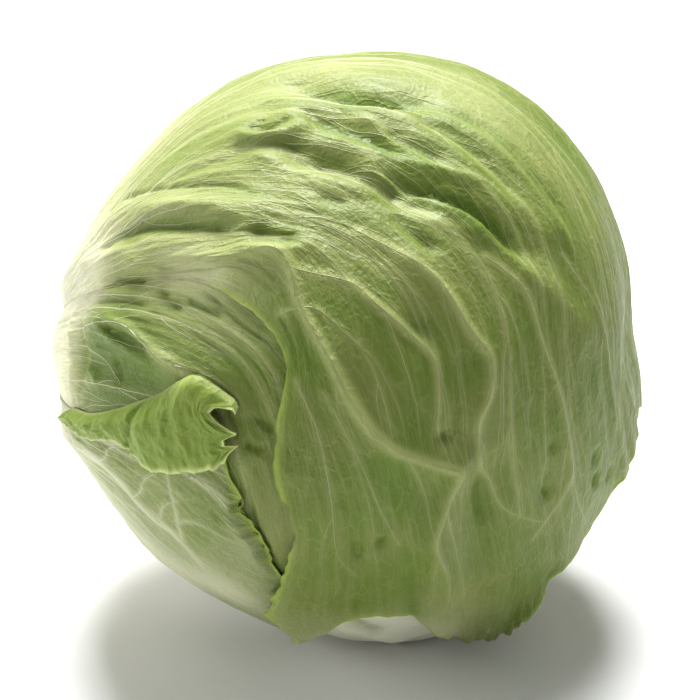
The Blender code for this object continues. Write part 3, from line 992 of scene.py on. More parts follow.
# Wrinkles: cells along and across the leaf, and height in mm
WRINKLES = [((9, 34), 0.34), ((16, 60), 0.22), ((34, 46), 0.18), ((60, 90), 0.12), ((110, 150), 0.07)]
ROUGH_PLACE = (8, 46)
ROUGH_WIDTH = 38
WAVE_COUNT = 7
WAVE_START = 0.75
CRINKLE_HEIGHT = 1.8 * MM
CRINKLE_COUNT = 4
FRILL = 1.3 * MM


def vein_relief(veins, directions):
    """Ridge height and paleness that the veins give to every direction."""
    points = np.concatenate([chain for chain, _ in veins.chains])
    radii = np.concatenate([radius for _, radius in veins.chains])
    height = np.zeros(len(directions))
    pale = np.zeros(len(directions))
    for thinnest, thickest in zip(VEIN_CLASSES, VEIN_CLASSES[1:]):
        kept = np.flatnonzero((radii >= thinnest) & (radii < thickest))
        if not len(kept):
            continue
        tree = tree_of(points[kept])
        found = [tree.find(direction) for direction in directions]
        gap = np.array([item[2] for item in found]) * HEAD_RADIUS
        radius = radii[kept][[item[1] for item in found]]
        band = bell(gap, 0.35 * MM + 1.5 * radius)
        wide = bell(gap, 0.5 * MM + 2.6 * radius)
        height = np.maximum(height, band * np.minimum(0.55 * radius, 0.45 * MM))
        share = np.clip((radius / PALE_RADIUS) ** 1.3, 0.10, 1)
        pale = np.maximum(pale, share * (0.45 * wide + 0.55 * band))
    return height, pale


def ripples(draw, down, across, cells):
    """Smooth random heights between -1 and 1, with a number of cells along and across the leaf."""
    return sampled(draw.uniform(-1, 1, (cells[0] + 1, cells[1] + 1)), down, across)


def blade_relief(leaf, directions, down, across):
    """Wrinkles and blisters of the blade itself, roughest at the top of the front."""
    rough = 0.55 + 0.75 * bell(degrees_from(directions, spot(ROUGH_PLACE)), ROUGH_WIDTH)
    height = sum(size * MM * ripples(leaf.draw, down, across, cells) for cells, size in WRINKLES)
    return height * rough * smooth_step(down / 0.25)


def margin_relief(leaf, directions, down, across):
    """Waves that lift the margin, crinkles away from the front, and a frill where the leaf is lifted."""
    ripple = 0.5 + 0.5 * np.sin(2 * math.pi * WAVE_COUNT * across + 1.3)
    waves = leaf.wave * ripple * np.clip((down - WAVE_START) / (1 - WAVE_START), 0, 1) ** 2
    swing = CRINKLE_COUNT * across + 0.5 * np.sin(2 * math.pi * down)
    crinkle = 0.5 + 0.5 * np.sin(2 * math.pi * swing)
    behind = np.clip(0.2 - directions @ FRONT, 0, 0.5) / 0.5
    crinkles = CRINKLE_HEIGHT * crinkle * behind * np.clip((down - 0.2) / 0.4, 0, 1)
    frill = ripples(leaf.draw, down, across, (20, 60)) + 0.6 * ripples(leaf.draw, down, across, (40, 130))
    loose = np.clip(leaf.lifted(directions) / (2 * MM), 0, 1) * smooth_step((down - 0.86) / 0.12)
    return waves + crinkles + FRILL * frill * loose


print("wrinkles are", WRINKLES[0][1], "to", WRINKLES[-1][1], "mm high")

# %% [markdown]
# ## A closed shell
#
# A leaf must be a closed body with a real thickness. Its outer face takes nearly all of the triangles.
# The hidden inner face is much coarser, and a strip of triangles zips the fine rim to the coarse face.

# %% Shell mesh
INNER_SKIP = 5
INNER_START = 2


def zipped(fine_sides, coarse_sides):
    """Triangles between a fine and a coarse ring, side by side."""
    faces = []
    for side in range(4):
        after = (side + 1) % 4
        fine, coarse = [np.append(ring[side], ring[after][0]) for ring in (fine_sides, coarse_sides)]
        i = j = 0
        while i < len(fine) - 1 or j < len(coarse) - 1:
            fine_first = (i + 1) / (len(fine) - 1) <= (j + 1) / (len(coarse) - 1)
            if i < len(fine) - 1 and (fine_first or j == len(coarse) - 1):
                faces.append((fine[i], fine[i + 1], coarse[j]))
                i += 1
            else:
                faces.append((fine[i], coarse[j + 1], coarse[j]))
                j += 1
    return np.array(faces)


def grid_faces(ids):
    """Two triangles for every cell of a grid of point indices."""
    a, b, c, d = ids[:-1, :-1], ids[:-1, 1:], ids[1:, 1:], ids[1:, :-1]
    halves = [np.stack(corners, axis=-1).reshape(-1, 3) for corners in ((a, b, c), (a, c, d))]
    return np.concatenate(halves)


def kept_lines(count):
    """Rows or columns of the fine grid that the coarse inner face keeps."""
    last = count - 1 - INNER_START
    return sorted({last} | set(range(INNER_START, last, INNER_SKIP)))


def shell(outer, inner):
    """Points and triangles of a closed sheet from two fine grids, and the grid point behind each point."""
    rows, columns = outer.shape[:2]
    size = rows * columns
    ids = np.arange(size).reshape(rows, columns)
    inner_ids = ids[np.ix_(kept_lines(rows), kept_lines(columns))] + size
    rim = np.concatenate(ring_of(ids))
    after = np.roll(rim, -1)
    walls = [
        grid_faces(inner_ids),
        np.stack([rim, after, after + size], axis=1),
        np.stack([rim, after + size, rim + size], axis=1),
        zipped(ring_of(ids + size), ring_of(inner_ids)),
    ]
    faces = np.concatenate([grid_faces(ids)] + [wall[:, ::-1] for wall in walls])
    points = np.concatenate([outer.reshape(-1, 3), inner.reshape(-1, 3)])
    used, where = np.unique(faces, return_inverse=True)
    return points[used], where.reshape(faces.shape), used % size


print("of 20 lines the inner face keeps", kept_lines(20))

# %% [markdown]
# ### From points to a piece
#
# A mesh can be made from lists with from_pydata, but foreach_set takes whole arrays and is much faster for
# a large leaf. The sign of the volume tells whether the faces point outwards. A leaf also carries values
# for its finish at every point, and a UV map that runs along and across it.


# %% Pieces from points
def signed_volume(points, faces):
    corners = points[faces]
    return float((corners[:, 0] * np.cross(corners[:, 1], corners[:, 2])).sum()) / 6


def add_piece(name, points, faces, material, values, uv=None):
    """A smooth closed mesh object with its material, point values and UV places."""
    if signed_volume(points, faces) < 0:
        faces = faces[:, ::-1]
    mesh = bpy.data.meshes.new(name)
    mesh.vertices.add(len(points))
    mesh.vertices.foreach_set("co", np.ascontiguousarray(points, np.float32).ravel())
    mesh.loops.add(faces.size)
    mesh.loops.foreach_set("vertex_index", np.ascontiguousarray(faces, np.int32).ravel())
    mesh.polygons.add(len(faces))
    mesh.polygons.foreach_set("loop_start", np.arange(0, faces.size, 3, dtype=np.int32))
    mesh.update(calc_edges=True)
    mesh.shade_smooth()
    for key, value in values.items():
        layer = mesh.attributes.new(key, "FLOAT", "POINT")
        layer.data.foreach_set("value", np.ascontiguousarray(value, np.float32))
    if uv is not None:
        layer = mesh.uv_layers.new(name="leaf_uv")
        layer.uv.foreach_set("vector", np.ascontiguousarray(uv[faces.ravel()], np.float32).ravel())
    mesh.materials.append(material)
    mesh.validate()
    print(name, len(faces), "triangles")
    return put_in_scene(name, mesh)


def add_sheet(name, directions, top, bottom, material, values, uv):
    """A closed sheet between two radii, with its values and UV places given on the same grid."""
    points, faces, used = shell(stand(directions, top), stand(directions, bottom))
    values = {key: np.broadcast_to(value, top.shape).ravel()[used] for key, value in values.items()}
    uv = np.stack([np.broadcast_to(share, top.shape).ravel()[used] for share in uv], axis=-1)
    return add_piece(name, points, faces, material, values, uv)


# %% [markdown]
# ## Leaf finish
#
# A lettuce leaf is thin, wet and translucent. Its colour runs from cream near the stem to olive green at
# the margin. The mesh carries four values that steer this: how pale the blade is, with painted highlights
# on the sunlit top, how near a vein is, how deep the point lies in a furrow, which is painted darker as
# partly painted shade, and how near the torn edge is, where a painted highlight runs. The shader adds
# what is too fine for the mesh: lines that run along the veins, a net of tiny veins, and a grain that
# catches the light.


# %% Shader helpers
class Nodes:
    """Builds the nodes of a tree with few words."""

    def __init__(self, tree):
        self.tree = tree

    def node(self, kind, inputs=None, **settings):
        """A new node. Its settings come before its inputs, because they can change its sockets."""
        made = self.tree.nodes.new(kind)
        for key, value in settings.items():
            setattr(made, key, value)
        self.fill(made, inputs or {})
        return made

    def fill(self, made, inputs):
        """Links or sets the inputs of a node."""
        for key, value in inputs.items():
            socket = made.inputs[key]
            if isinstance(value, bpy.types.NodeSocket):
                self.tree.links.new(value, socket)
            else:
                socket.default_value = (*value, 1) if socket.type == "RGBA" else value


class Finish(Nodes):
    """A material and the nodes that feed its shader."""

    def __init__(self, name):
        self.material = bpy.data.materials.new(name)
        self.material.use_nodes = True
        super().__init__(self.material.node_tree)
        self.place = self.node("ShaderNodeTexCoord").outputs["Object"]

    def value(self, name):
        return self.node("ShaderNodeAttribute", attribute_name=name).outputs["Fac"]

    def mix(self, share, low, high):
        return self.node("ShaderNodeMix", {0: share, 6: low, 7: high}, data_type="RGBA").outputs[2]

    def ranged(self, value, low, high, to_low=0.0, to_high=1.0):
        inputs = {"Value": value, "From Min": low, "From Max": high, "To Min": to_low, "To Max": to_high}
        return self.node("ShaderNodeMapRange", inputs).outputs["Result"]

    def noise(self, vector, scale, detail=3.0, roughness=0.55):
        inputs = {"Vector": vector, "Scale": scale, "Detail": detail, "Roughness": roughness}
        return self.node("ShaderNodeTexNoise", inputs).outputs["Fac"]

    def mapped(self, vector, scale):
        return self.node("ShaderNodeMapping", {"Vector": vector, "Scale": scale}).outputs["Vector"]

    def bump(self, height, distance, strength, below=None):
        inputs = {"Height": height, "Distance": distance, "Strength": strength}
        if below is not None:
            inputs["Normal"] = below
        return self.node("ShaderNodeBump", inputs).outputs["Normal"]

    def done(self, colour, roughness, **inputs):
        """The material, once its shader has its colour, its roughness and its other inputs."""
        named = {key.replace("_", " "): value for key, value in inputs.items()}
        shader = self.tree.nodes["Principled BSDF"]
        self.fill(shader, {"Base Color": colour, "Roughness": roughness, **named})
        return self.material


# %% [markdown]
# ### The colours of a leaf
#
# The finish is a stack of thin layers of colour, each mixed in by its own share. Green comes first, in
# patches of two tones. Cream, the fine lines, the net, the furrows with their painted shade, the veins
# and the painted highlight of the torn edge follow. Bumps for the lines, the net, the blisters and the
# grain catch the light, and a little of that light passes below the surface, as in a real leaf.

# %% Leaf colours
CREAM = (0.700, 0.700, 0.480)
LEAF_GLOW = (0.8, 1.0, 0.30)


def leaf_finish(name, green, deep_green, pale, vein, edge):
    """Material of a leaf from its five colours."""
    finish = Finish(name)
    leaf_uv = finish.node("ShaderNodeUVMap", uv_map="leaf_uv").outputs["UV"]
    patches = finish.noise(finish.place, 38.0, 4.0)
    lines = finish.noise(finish.mapped(leaf_uv, (150.0, 7.0, 1.0)), 1.0, 4.0, 0.6)
    net_inputs = {"Vector": finish.mapped(leaf_uv, (62.0, 30.0, 1.0)), "Scale": 1.0, "Randomness": 0.9}
    net = finish.node("ShaderNodeTexVoronoi", net_inputs, feature="DISTANCE_TO_EDGE").outputs["Distance"]
    grain = finish.noise(finish.place, 850.0, 2.0)
    blister = finish.noise(finish.place, 300.0, 3.0)
    furrow = finish.value("furrow")
    # Half the deep green: painted shade for the deepest furrows
    furrow_shade = tuple(0.5 * channel for channel in deep_green)
    layers = [
        # Pale blade, which also holds painted highlights on the sunlit top and painted light on shaded spots
        (finish.value("pale"), pale),
        (finish.ranged(finish.value("pale"), 0.40, 1.1, 0.0, 0.90), CREAM),
        (finish.ranged(lines, 0.45, 0.75, 0.0, 0.13), pale),
        (finish.ranged(net, 0.0, 0.07, 0.20, 0.0), vein),
        # Furrows: a deeper green, partly the leaf's own and partly painted shade, and painted shade darker
        # still in the deepest
        (furrow, deep_green),
        (finish.ranged(furrow, 0.6, 1.2, 0.0, 0.8), furrow_shade),
        (finish.value("vein"), vein),
        # Painted highlight: a bright band along the torn edge
        (finish.value("edge"), edge),
    ]
    colour = finish.mix(finish.ranged(patches, 0.38, 0.66), green, deep_green)
    for share, paint in layers:
        colour = finish.mix(share, colour, paint)
    normal = finish.bump(lines, 0.16 * MM, 0.6)
    normal = finish.bump(finish.ranged(net, 0.0, 0.07, 1.0, 0.0), 0.14 * MM, 0.7, normal)
    normal = finish.bump(blister, 0.55 * MM, 0.8, normal)
    normal = finish.bump(grain, 0.30 * MM, 0.9, normal)
    return finish.done(
        colour,
        finish.ranged(blister, 0.3, 0.7, 0.40, 0.55),
        Normal=normal,
        IOR=1.42,
        Specular_IOR_Level=0.27,
        Subsurface_Weight=0.30,
        Subsurface_Radius=LEAF_GLOW,
        Subsurface_Scale=2.2 * MM,
    )


# The edge colour of each finish is the painted highlight along its torn margin
OUTER_GREEN = leaf_finish(
    "outer_leaf_green",
    green=(0.147, 0.184, 0.038),
    deep_green=(0.096, 0.163, 0.012),
    pale=(0.510, 0.515, 0.250),
    vein=(0.300, 0.335, 0.120),
    edge=(0.275, 0.360, 0.070),
)
PALE_GREEN = leaf_finish(
    "underside_pale_green",
    green=(0.400, 0.430, 0.200),
    deep_green=(0.400, 0.430, 0.240),
    pale=(0.830, 0.830, 0.780),
    vein=(0.740, 0.740, 0.620),
    edge=(0.620, 0.660, 0.450),
)
INNER_GREEN = leaf_finish(
    "inner_leaf_green",
    green=(0.158, 0.200, 0.042),
    deep_green=(0.108, 0.160, 0.020),
    pale=(0.520, 0.525, 0.350),
    vein=(0.520, 0.530, 0.340),
    edge=(0.290, 0.390, 0.070),
)
print("finishes", [finish.name for finish in (OUTER_GREEN, PALE_GREEN, INNER_GREEN)])

# %% [markdown]
# ## Pale and green places
#
# A leaf is cream where it leaves the stem, because no light reached it there, and green where it stood in
# the sun. So paleness comes from how far a point is from the stem, and from places that are paler or
# greener than that. Some paler places are painted light: painted highlights on the sunlit top of the
# head, and paint that lifts a shaded strip low in front and the shaded pale bump underneath. They could
# be painted by hand, but a list of places is easier to change.

# %% Paleness
CREAM_REACH = 14
# Paler (above zero) and greener (below zero) places: amount, half-width in degrees, place. The paler
# places at (-4, 70), (-20, 60), (24, 62) and (33, 50) are painted highlights on the sunlit top, and those at
# (-19, -39) and (8, -80) partly paint light into shaded spots.
TONES_AND_PAINTED_LIGHT = [
    (-0.95, 11, (-52, -5)), (-0.55, 9, (-38, -4)), (-0.4, 7, (-47, 15)), (-0.3, 4, (-35, 24.5)),
    (0.2, 5, (-36, 30)), (0.24, 8, (-34, 18)), (0.35, 9, (-4, 70)), (0.25, 12, (-10, 36)),
    (0.25, 10, (-20, 60)), (0.3, 9, (-25, 14)), (0.2, 14, (-40, 8)), (-0.25, 16, (56, -60)),
    (-0.2, 14, (0, -50)), (-0.85, 9, (-56, -22)), (-0.6, 9, (-36, -27)), (0.5, 12, (-48, -62)),
    (0.45, 15, (-80, 8)), (0.38, 13, (-62, 15)), (1, 20, (8, -80)), (0.55, 10, (-28, -57)),
    (0.28, 11, (-56, 18)), (-0.1, 7, (-46, 24)), (0.15, 9, (-24, 9)), (0.28, 9, (-19, -39)),
    (0.3, 11, (24, 62)), (0.22, 10, (33, 50)),
]


def paleness(directions, reach):
    """How pale a blade is: cream at the stem, green past its reach in degrees."""
    turn = degrees_from(directions, STEM)
    pale = (1 - smooth_step((turn - CREAM_REACH) / (reach - CREAM_REACH))) ** 1.3
    # Paler and greener places, some of them painted highlights and painted light on shaded spots
    for amount, width, place in TONES_AND_PAINTED_LIGHT:
        pale = pale + amount * bell(degrees_from(directions, spot(place)), width)
    return np.clip(pale, 0, 1)


print(len(TONES_AND_PAINTED_LIGHT), "places are paler or greener")

# %% [markdown]
# ## Making a leaf
#
# All of it comes together here. The margin settles down onto the leaf below, except where the leaf is
# lifted, and the blade thins out towards its edge. Some margins are pressed flat, so that no edge shows.

# %% Leaf pieces
BLADE = 0.75 * MM
THIN_EDGE = 0.35 * MM
THIN_REACH = 4 * MM
SETTLE = 0.9 * MM
SETTLE_REACH = 6 * MM
LOOSE_LIFT = 0.8 * MM
HIDDEN_EDGES = {
    "cap_leaf": "-104 12  -84 12  -70 12  -58 12  -44 13  -31 12",
    "side_leaf": "-104 -11  -94 -12  -84 -14  -75 -15",
}
HIDDEN_SPACING = 3 * MM
HIDDEN_WIDTH = 9 * MM
HIDDEN_REACH = 12 * MM
HIDDEN_LEFT = 0.15 * MM
EDGE_HIGHLIGHT_WIDTH = 1.3 * MM
VEINS_LOST_IN_PALE = 0.8
GREEN_PANEL = (-50, -3)
GREEN_REACH = 14
GREEN_SHARE = 0.75


def hidden_margin(name, directions):
    """1 where a margin is pressed flat into the leaf below, so that no edge shows."""
    hidden = np.zeros(directions.shape[:-1])
    for (points,) in rows_of(HIDDEN_EDGES.get(name, "")):
        nearness = (directions @ spaced(points, HIDDEN_SPACING).T).max(axis=-1)
        gap = np.sqrt(np.maximum(2 - 2 * nearness, 0)) * HEAD_RADIUS
        hidden = np.exp(-((gap / HIDDEN_WIDTH) ** 4))
    return hidden


def leaf_surface(layer, down, across, veins):
    """Directions, outer and inner radius, and point values of a leaf at its mesh's places."""
    leaf = LEAVES[layer]
    directions = unit(sampled(leaf.chart, down, across))
    stack, above, over, bare, edge = np.moveaxis(sampled(layer_grids(layer), down, across), -1, 0)
    over = np.maximum(over, 0)
    body, furrow = body_radius(directions)
    ridge, vein = [part.reshape(down.shape) for part in vein_relief(veins, directions.reshape(-1, 3))]
    lift = margin_relief(leaf, directions, down, across) + leaf.lifted(directions)
    lift = lift * np.clip(1 - over / LEAF_PITCH, 0, 1)
    fine = (ridge + blade_relief(leaf, directions, down, across)) * np.clip(bare, 0, 1)
    edge = np.minimum(edge, (1 - down) * leaf.length)
    settle = SETTLE * smooth_step(1 - edge / SETTLE_REACH) * smooth_step(1 - lift / LOOSE_LIFT)
    hidden = hidden_margin(leaf.name, directions)
    flush = hidden * smooth_step(1 - edge / HIDDEN_REACH)
    settle = settle * (1 - flush) + flush * (above - HIDDEN_LEFT)
    outer = body + stack + lift + fine - settle
    thickness = THIN_EDGE + (BLADE - THIN_EDGE) * smooth_step(edge / THIN_REACH)
    top = boxed(directions, floored(directions, outer, over))
    bottom = np.minimum(floored(directions, outer - thickness, over + thickness), top - 0.5 * thickness)
    # A painted highlight along the margin where it stands free, none where it is pressed flat
    edge_highlight = bell(edge, EDGE_HIGHLIGHT_WIDTH) * (1 - hidden)
    return directions, top, bottom, {"furrow": furrow, "vein": vein, "edge": edge_highlight}


def build_leaf(layer, material, reach, trunks, side_torn):
    """The blade of one leaf, and the veins that it grew."""
    leaf = LEAVES[layer]
    veins = grown_veins(leaf, trunks)
    along = crowded(leaf, 0)
    down, over = torn_places(leaf, along, crowded(leaf, 1), side_torn)
    directions, top, bottom, values = leaf_surface(layer, down, over, veins)
    to_tip = ((1 - along) * leaf.length)[:, None]
    pale = paleness(directions, reach)
    green = np.exp(-((degrees_from(directions, spot(GREEN_PANEL)) / GREEN_REACH) ** 4))
    green = GREEN_SHARE * green * (layer == FRONT_LAYER)
    values["pale"] = pale
    # The tip's margin gets the painted edge highlight too
    values["edge"] = np.maximum(values["edge"], bell(to_tip, EDGE_HIGHLIGHT_WIDTH))
    values["vein"] = values["vein"] * (1 - VEINS_LOST_IN_PALE * pale) * (1 - green)
    # The green panel rides on the furrow value, so it also takes a little of the painted furrow shade
    values["furrow"] = np.maximum(values["furrow"], green)
    piece = add_sheet(leaf.name + "_blade", directions, top, bottom, material, values, (over, down))
    return piece, veins


# %% [markdown]
# ## Raised veins
#
# The finest veins are thinner than the mesh's steps, so they are cords of their own. A Geometry Nodes
# tree takes their lines, drops each point onto the blade with a ray from outside, sinks it by a share of
# its radius, and sweeps a small circle along them. Only their backs stand proud, as on the real leaf.

# %% Geometry Nodes tree for the veins
RAY_START = 0.13
RAY_LENGTH = 0.12
VEIN_INPUTS = {
    "Geometry": "Geometry",
    "Blade": "Object",
    "Middle": "Vector",
    "Sink": "Float",
    "Sides": "Int",
    "Finish": "Material",
}


def vein_tree():
    """The tree, and the names by which a modifier knows its inputs."""
    tree = bpy.data.node_groups.new("raised_veins", "GeometryNodeTree")
    sockets = {}
    for name, kind in VEIN_INPUTS.items():
        socket = tree.interface.new_socket(name, in_out="INPUT", socket_type="NodeSocket" + kind)
        sockets[name] = socket.identifier
    tree.interface.new_socket("Geometry", in_out="OUTPUT", socket_type="NodeSocketGeometry")
    nodes = Nodes(tree)
    given = nodes.node("NodeGroupInput").outputs

    def step(kind, inputs, **settings):
        return nodes.node("GeometryNode" + kind, inputs, **settings).outputs[0]

    def vector(operation, inputs):
        return nodes.node("ShaderNodeVectorMath", inputs, operation=operation).outputs[0]

    # A ray from outside the head, back towards its middle
    outward = vector("SUBTRACT", {0: step("InputPosition", {}), 1: given["Middle"]})
    outward = vector("NORMALIZE", {0: outward})
    start = vector("MULTIPLY_ADD", {0: outward, 1: (RAY_START, RAY_START, RAY_START), 2: given["Middle"]})
    inward = vector("SCALE", {0: outward, "Scale": -1})
    blade = nodes.node("GeometryNodeObjectInfo", {"Object": given["Blade"]}).outputs["Geometry"]
    ray_inputs = {"Target Geometry": blade, "Source Position": start, "Ray Direction": inward}
    ray = nodes.node("GeometryNodeRaycast", {**ray_inputs, "Ray Length": RAY_LENGTH}).outputs
    # Each point moves to where its ray hits, and the points whose ray misses go
    radius = step("InputNamedAttribute", {"Name": "vein_radius"})
    sunk = nodes.node("ShaderNodeMath", {0: radius, 1: given["Sink"]}, operation="MULTIPLY").outputs[0]
    place = vector("ADD", {0: ray["Hit Position"], 1: vector("SCALE", {0: inward, "Scale": sunk})})
    missed = nodes.node("FunctionNodeBooleanMath", {0: ray["Is Hit"]}, operation="NOT").outputs[0]
    marks = {"Geometry": given["Geometry"], "Name": "missed", "Value": missed}
    lines = step("StoreNamedAttribute", marks, data_type="BOOLEAN", domain="POINT")
    lines = step("SetPosition", {"Geometry": lines, "Position": place})
    lost = step("InputNamedAttribute", {"Name": "missed"}, data_type="BOOLEAN")
    lines = step("DeleteGeometry", {"Geometry": lines, "Selection": lost})
    # A circle with the vein's own radius runs along the lines
    lines = step("MeshToCurve", {"Mesh": lines})
    circle = step("CurvePrimitiveCircle", {"Resolution": given["Sides"], "Radius": 1})
    sweep = {"Curve": lines, "Profile Curve": circle, "Scale": radius, "Fill Caps": True}
    cords = step("SetShadeSmooth", {"Geometry": step("CurveToMesh", sweep)})
    cords = step("RealizeInstances", {"Geometry": cords})
    cords = step("SetMaterial", {"Geometry": cords, "Material": given["Finish"]})
    nodes.node("NodeGroupOutput", {"Geometry": cords})
    return tree, sockets


VEIN_TREE, VEIN_SOCKETS = vein_tree()
print("tree", VEIN_TREE.name, "has", len(VEIN_TREE.nodes), "nodes")

# %% [markdown]
# ### The cords of one leaf
#
# The tree becomes a modifier on a mesh that holds only the vein lines. Its result is turned into a plain
# mesh and the lines are removed. The cords are a little darker in places and turn cream near the stem.

# %% Cords of one leaf
VEIN_BASE = (0.600, 0.610, 0.400)
VEIN_SINK = 0.55
VEIN_SHOWN = 0.5
VEIN_SIDES = 4
THICKEST_CORD = 0.42 * MM


def vein_finish(name, dark, light):
    """Material of the raised veins."""
    finish = Finish(name)
    patches = finish.noise(finish.place, 60.0, 3.0)
    colour = finish.mix(finish.ranged(patches, 0.35, 0.65), dark, light)
    inputs = {0: finish.place, 1: tuple(STEM)}
    toward_stem = finish.node("ShaderNodeVectorMath", inputs, operation="DOT_PRODUCT").outputs["Value"]
    return finish.done(
        finish.mix(finish.ranged(toward_stem, -10 * MM, 45 * MM), colour, VEIN_BASE),
        finish.ranged(patches, 0.3, 0.7, 0.34, 0.44),
        Normal=finish.bump(finish.noise(finish.place, 1200.0), 0.05 * MM, 0.5),
        Subsurface_Weight=0.3,
        Subsurface_Radius=LEAF_GLOW,
        Subsurface_Scale=2 * MM,
    )


def raised_veins(name, veins, blade, material, thinnest):
    """One piece with the raised veins of a leaf, dropped onto its blade."""
    kept = [(chain, radius) for chain, radius in veins.chains if radius.max() >= thinnest]
    edges = []
    start = 0
    for chain, _ in kept:
        edges += [(start + k, start + k + 1) for k in range(len(chain) - 1)]
        start += len(chain)
    directions = np.concatenate([chain for chain, _ in kept])
    radii = np.concatenate([np.minimum(radius, THICKEST_CORD) * VEIN_SHOWN for _, radius in kept])
    mesh = bpy.data.meshes.new(name + "_lines")
    mesh.from_pydata(stand(directions, np.full(len(directions), HEAD_RADIUS)).tolist(), edges, [])
    layer = mesh.attributes.new("vein_radius", "FLOAT", "POINT")
    layer.data.foreach_set("value", radii.astype(np.float32))
    lines = put_in_scene(name + "_lines", mesh)
    sweep = lines.modifiers.new("sweep", "NODES")
    sweep.node_group = VEIN_TREE
    sweep[VEIN_SOCKETS["Blade"]] = blade
    sweep[VEIN_SOCKETS["Middle"]] = tuple(HEAD_MIDDLE)
    sweep[VEIN_SOCKETS["Sink"]] = VEIN_SINK
    sweep[VEIN_SOCKETS["Sides"]] = VEIN_SIDES
    sweep[VEIN_SOCKETS["Finish"]] = material
    view = bpy.context.evaluated_depsgraph_get()
    swept = bpy.data.meshes.new_from_object(lines.evaluated_get(view))
    bpy.data.objects.remove(lines, do_unlink=True)
    print(name, len(swept.polygons), "faces on", len(kept), "of", len(veins.chains), "veins")
    return put_in_scene(name, swept)


# %% [markdown]
# ## Every leaf with its veins
#
# The seven leaves are built from the inside out. Leaves that show in front keep even their thin veins as
# cords, and the hidden ones only keep the thick ones.

# %% Build every leaf with its veins
THINNEST_CORD = 0.37 * MM
THINNEST_IN_FRONT = 0.20 * MM
VEIN_PALE = vein_finish("vein_pale_green", (0.225, 0.265, 0.085), (0.330, 0.365, 0.140))
VEIN_CREAM = vein_finish("vein_cream", (0.640, 0.650, 0.480), (0.740, 0.745, 0.620))
# For each leaf: finish, finish of its veins, reach of its cream, trunks, whether a side is torn, slot
LEAF_PLAN = {
    "back_leaf": (INNER_GREEN, VEIN_PALE, 120, 16, False, "wrapper_leaf"),
    "low_leaf": (INNER_GREEN, VEIN_PALE, 115, 9, False, "wrapper_leaf"),
    "right_leaf": (INNER_GREEN, VEIN_PALE, 120, 12, False, "wrapper_leaf"),
    "underside_leaf": (PALE_GREEN, VEIN_CREAM, 175, 16, False, "pale_leaf"),
    "front_leaf": (OUTER_GREEN, VEIN_PALE, 100, 9, False, "wrapper_leaf"),
    "side_leaf": (INNER_GREEN, VEIN_PALE, 92, 12, False, "wrapper_leaf"),
    "cap_leaf": (OUTER_GREEN, VEIN_PALE, 105, 26, True, "wrapper_leaf"),
}

for layer, leaf in enumerate(LEAVES):
    material, vein_material, reach, trunks, side_torn, slot = LEAF_PLAN[leaf.name]
    piece, veins = build_leaf(layer, material, reach, trunks, side_torn)
    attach(piece, "root")
    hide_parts(leaf.name)
    thinnest = THINNEST_IN_FRONT if layer >= FRONT_LAYER else THINNEST_CORD
    cords = raised_veins(leaf.name + "_veins", veins, piece, vein_material, thinnest)
    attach(cords, "root")

# %% [markdown]
# ## The curled tip of the side leaf
#
# The side leaf's upper margin has folded outwards, so the tip shows the leaf's bright upper face. It is a
# flap that starts at the fold, swells away from the head and ends in a free, torn edge. Two rows of
# places give its outline, and a crease parts the narrow tongue from the broad lobe.

# %% Curled tip
CURL_LINES = """
-73 -17  -68 -15  -59 -15  -49 -13  -43 -11  -37 -9  -31 -6  -27 -5  -21 -9
-73 -19  -64 -20  -56 -20.5  -49 -19.5  -45 -21  -39 -23.5  -31 -23.5  -26 -24  -20 -20
-39 -9  -41 -13  -43 -19
"""
CURL_MESH = (70, 260)
CURL_RISE = np.array([-1.2, 1.6, 3.0, 3.3, 3.0, 2.6, 2.2, 1.9]) * MM
CURL_SPAN = (0.20, 0.86)
CURL_TEETH = [(9.0, 0.05), (4.0, 0.03), (2.0, 0.02)]
CURL_JAGS = np.array([4, 4, 0, -6, -8.5, -6, -1, 3, -4, -4, 2, -3, -5]) / 100
CURL_JAG_START = 0.84
CURL_SEED = 11
TONGUE_STEP = 0.9 * MM
CREASE_DEPTH = 0.7 * MM
PLEAT_HEIGHT = 0.60 * MM
FINE_HEIGHT = 0.28 * MM


def face_radius(directions, layer):
    """Radius of a leaf's outer face before its fine relief."""
    stack = LEAVES[layer].rib(directions) + LEAVES[layer].lifted(directions)
    for other in LEAVES[:layer]:
        stack += (LEAF_PITCH + other.rib(directions)) * other.cover(directions)
    return stack + body_radius(directions)[0]


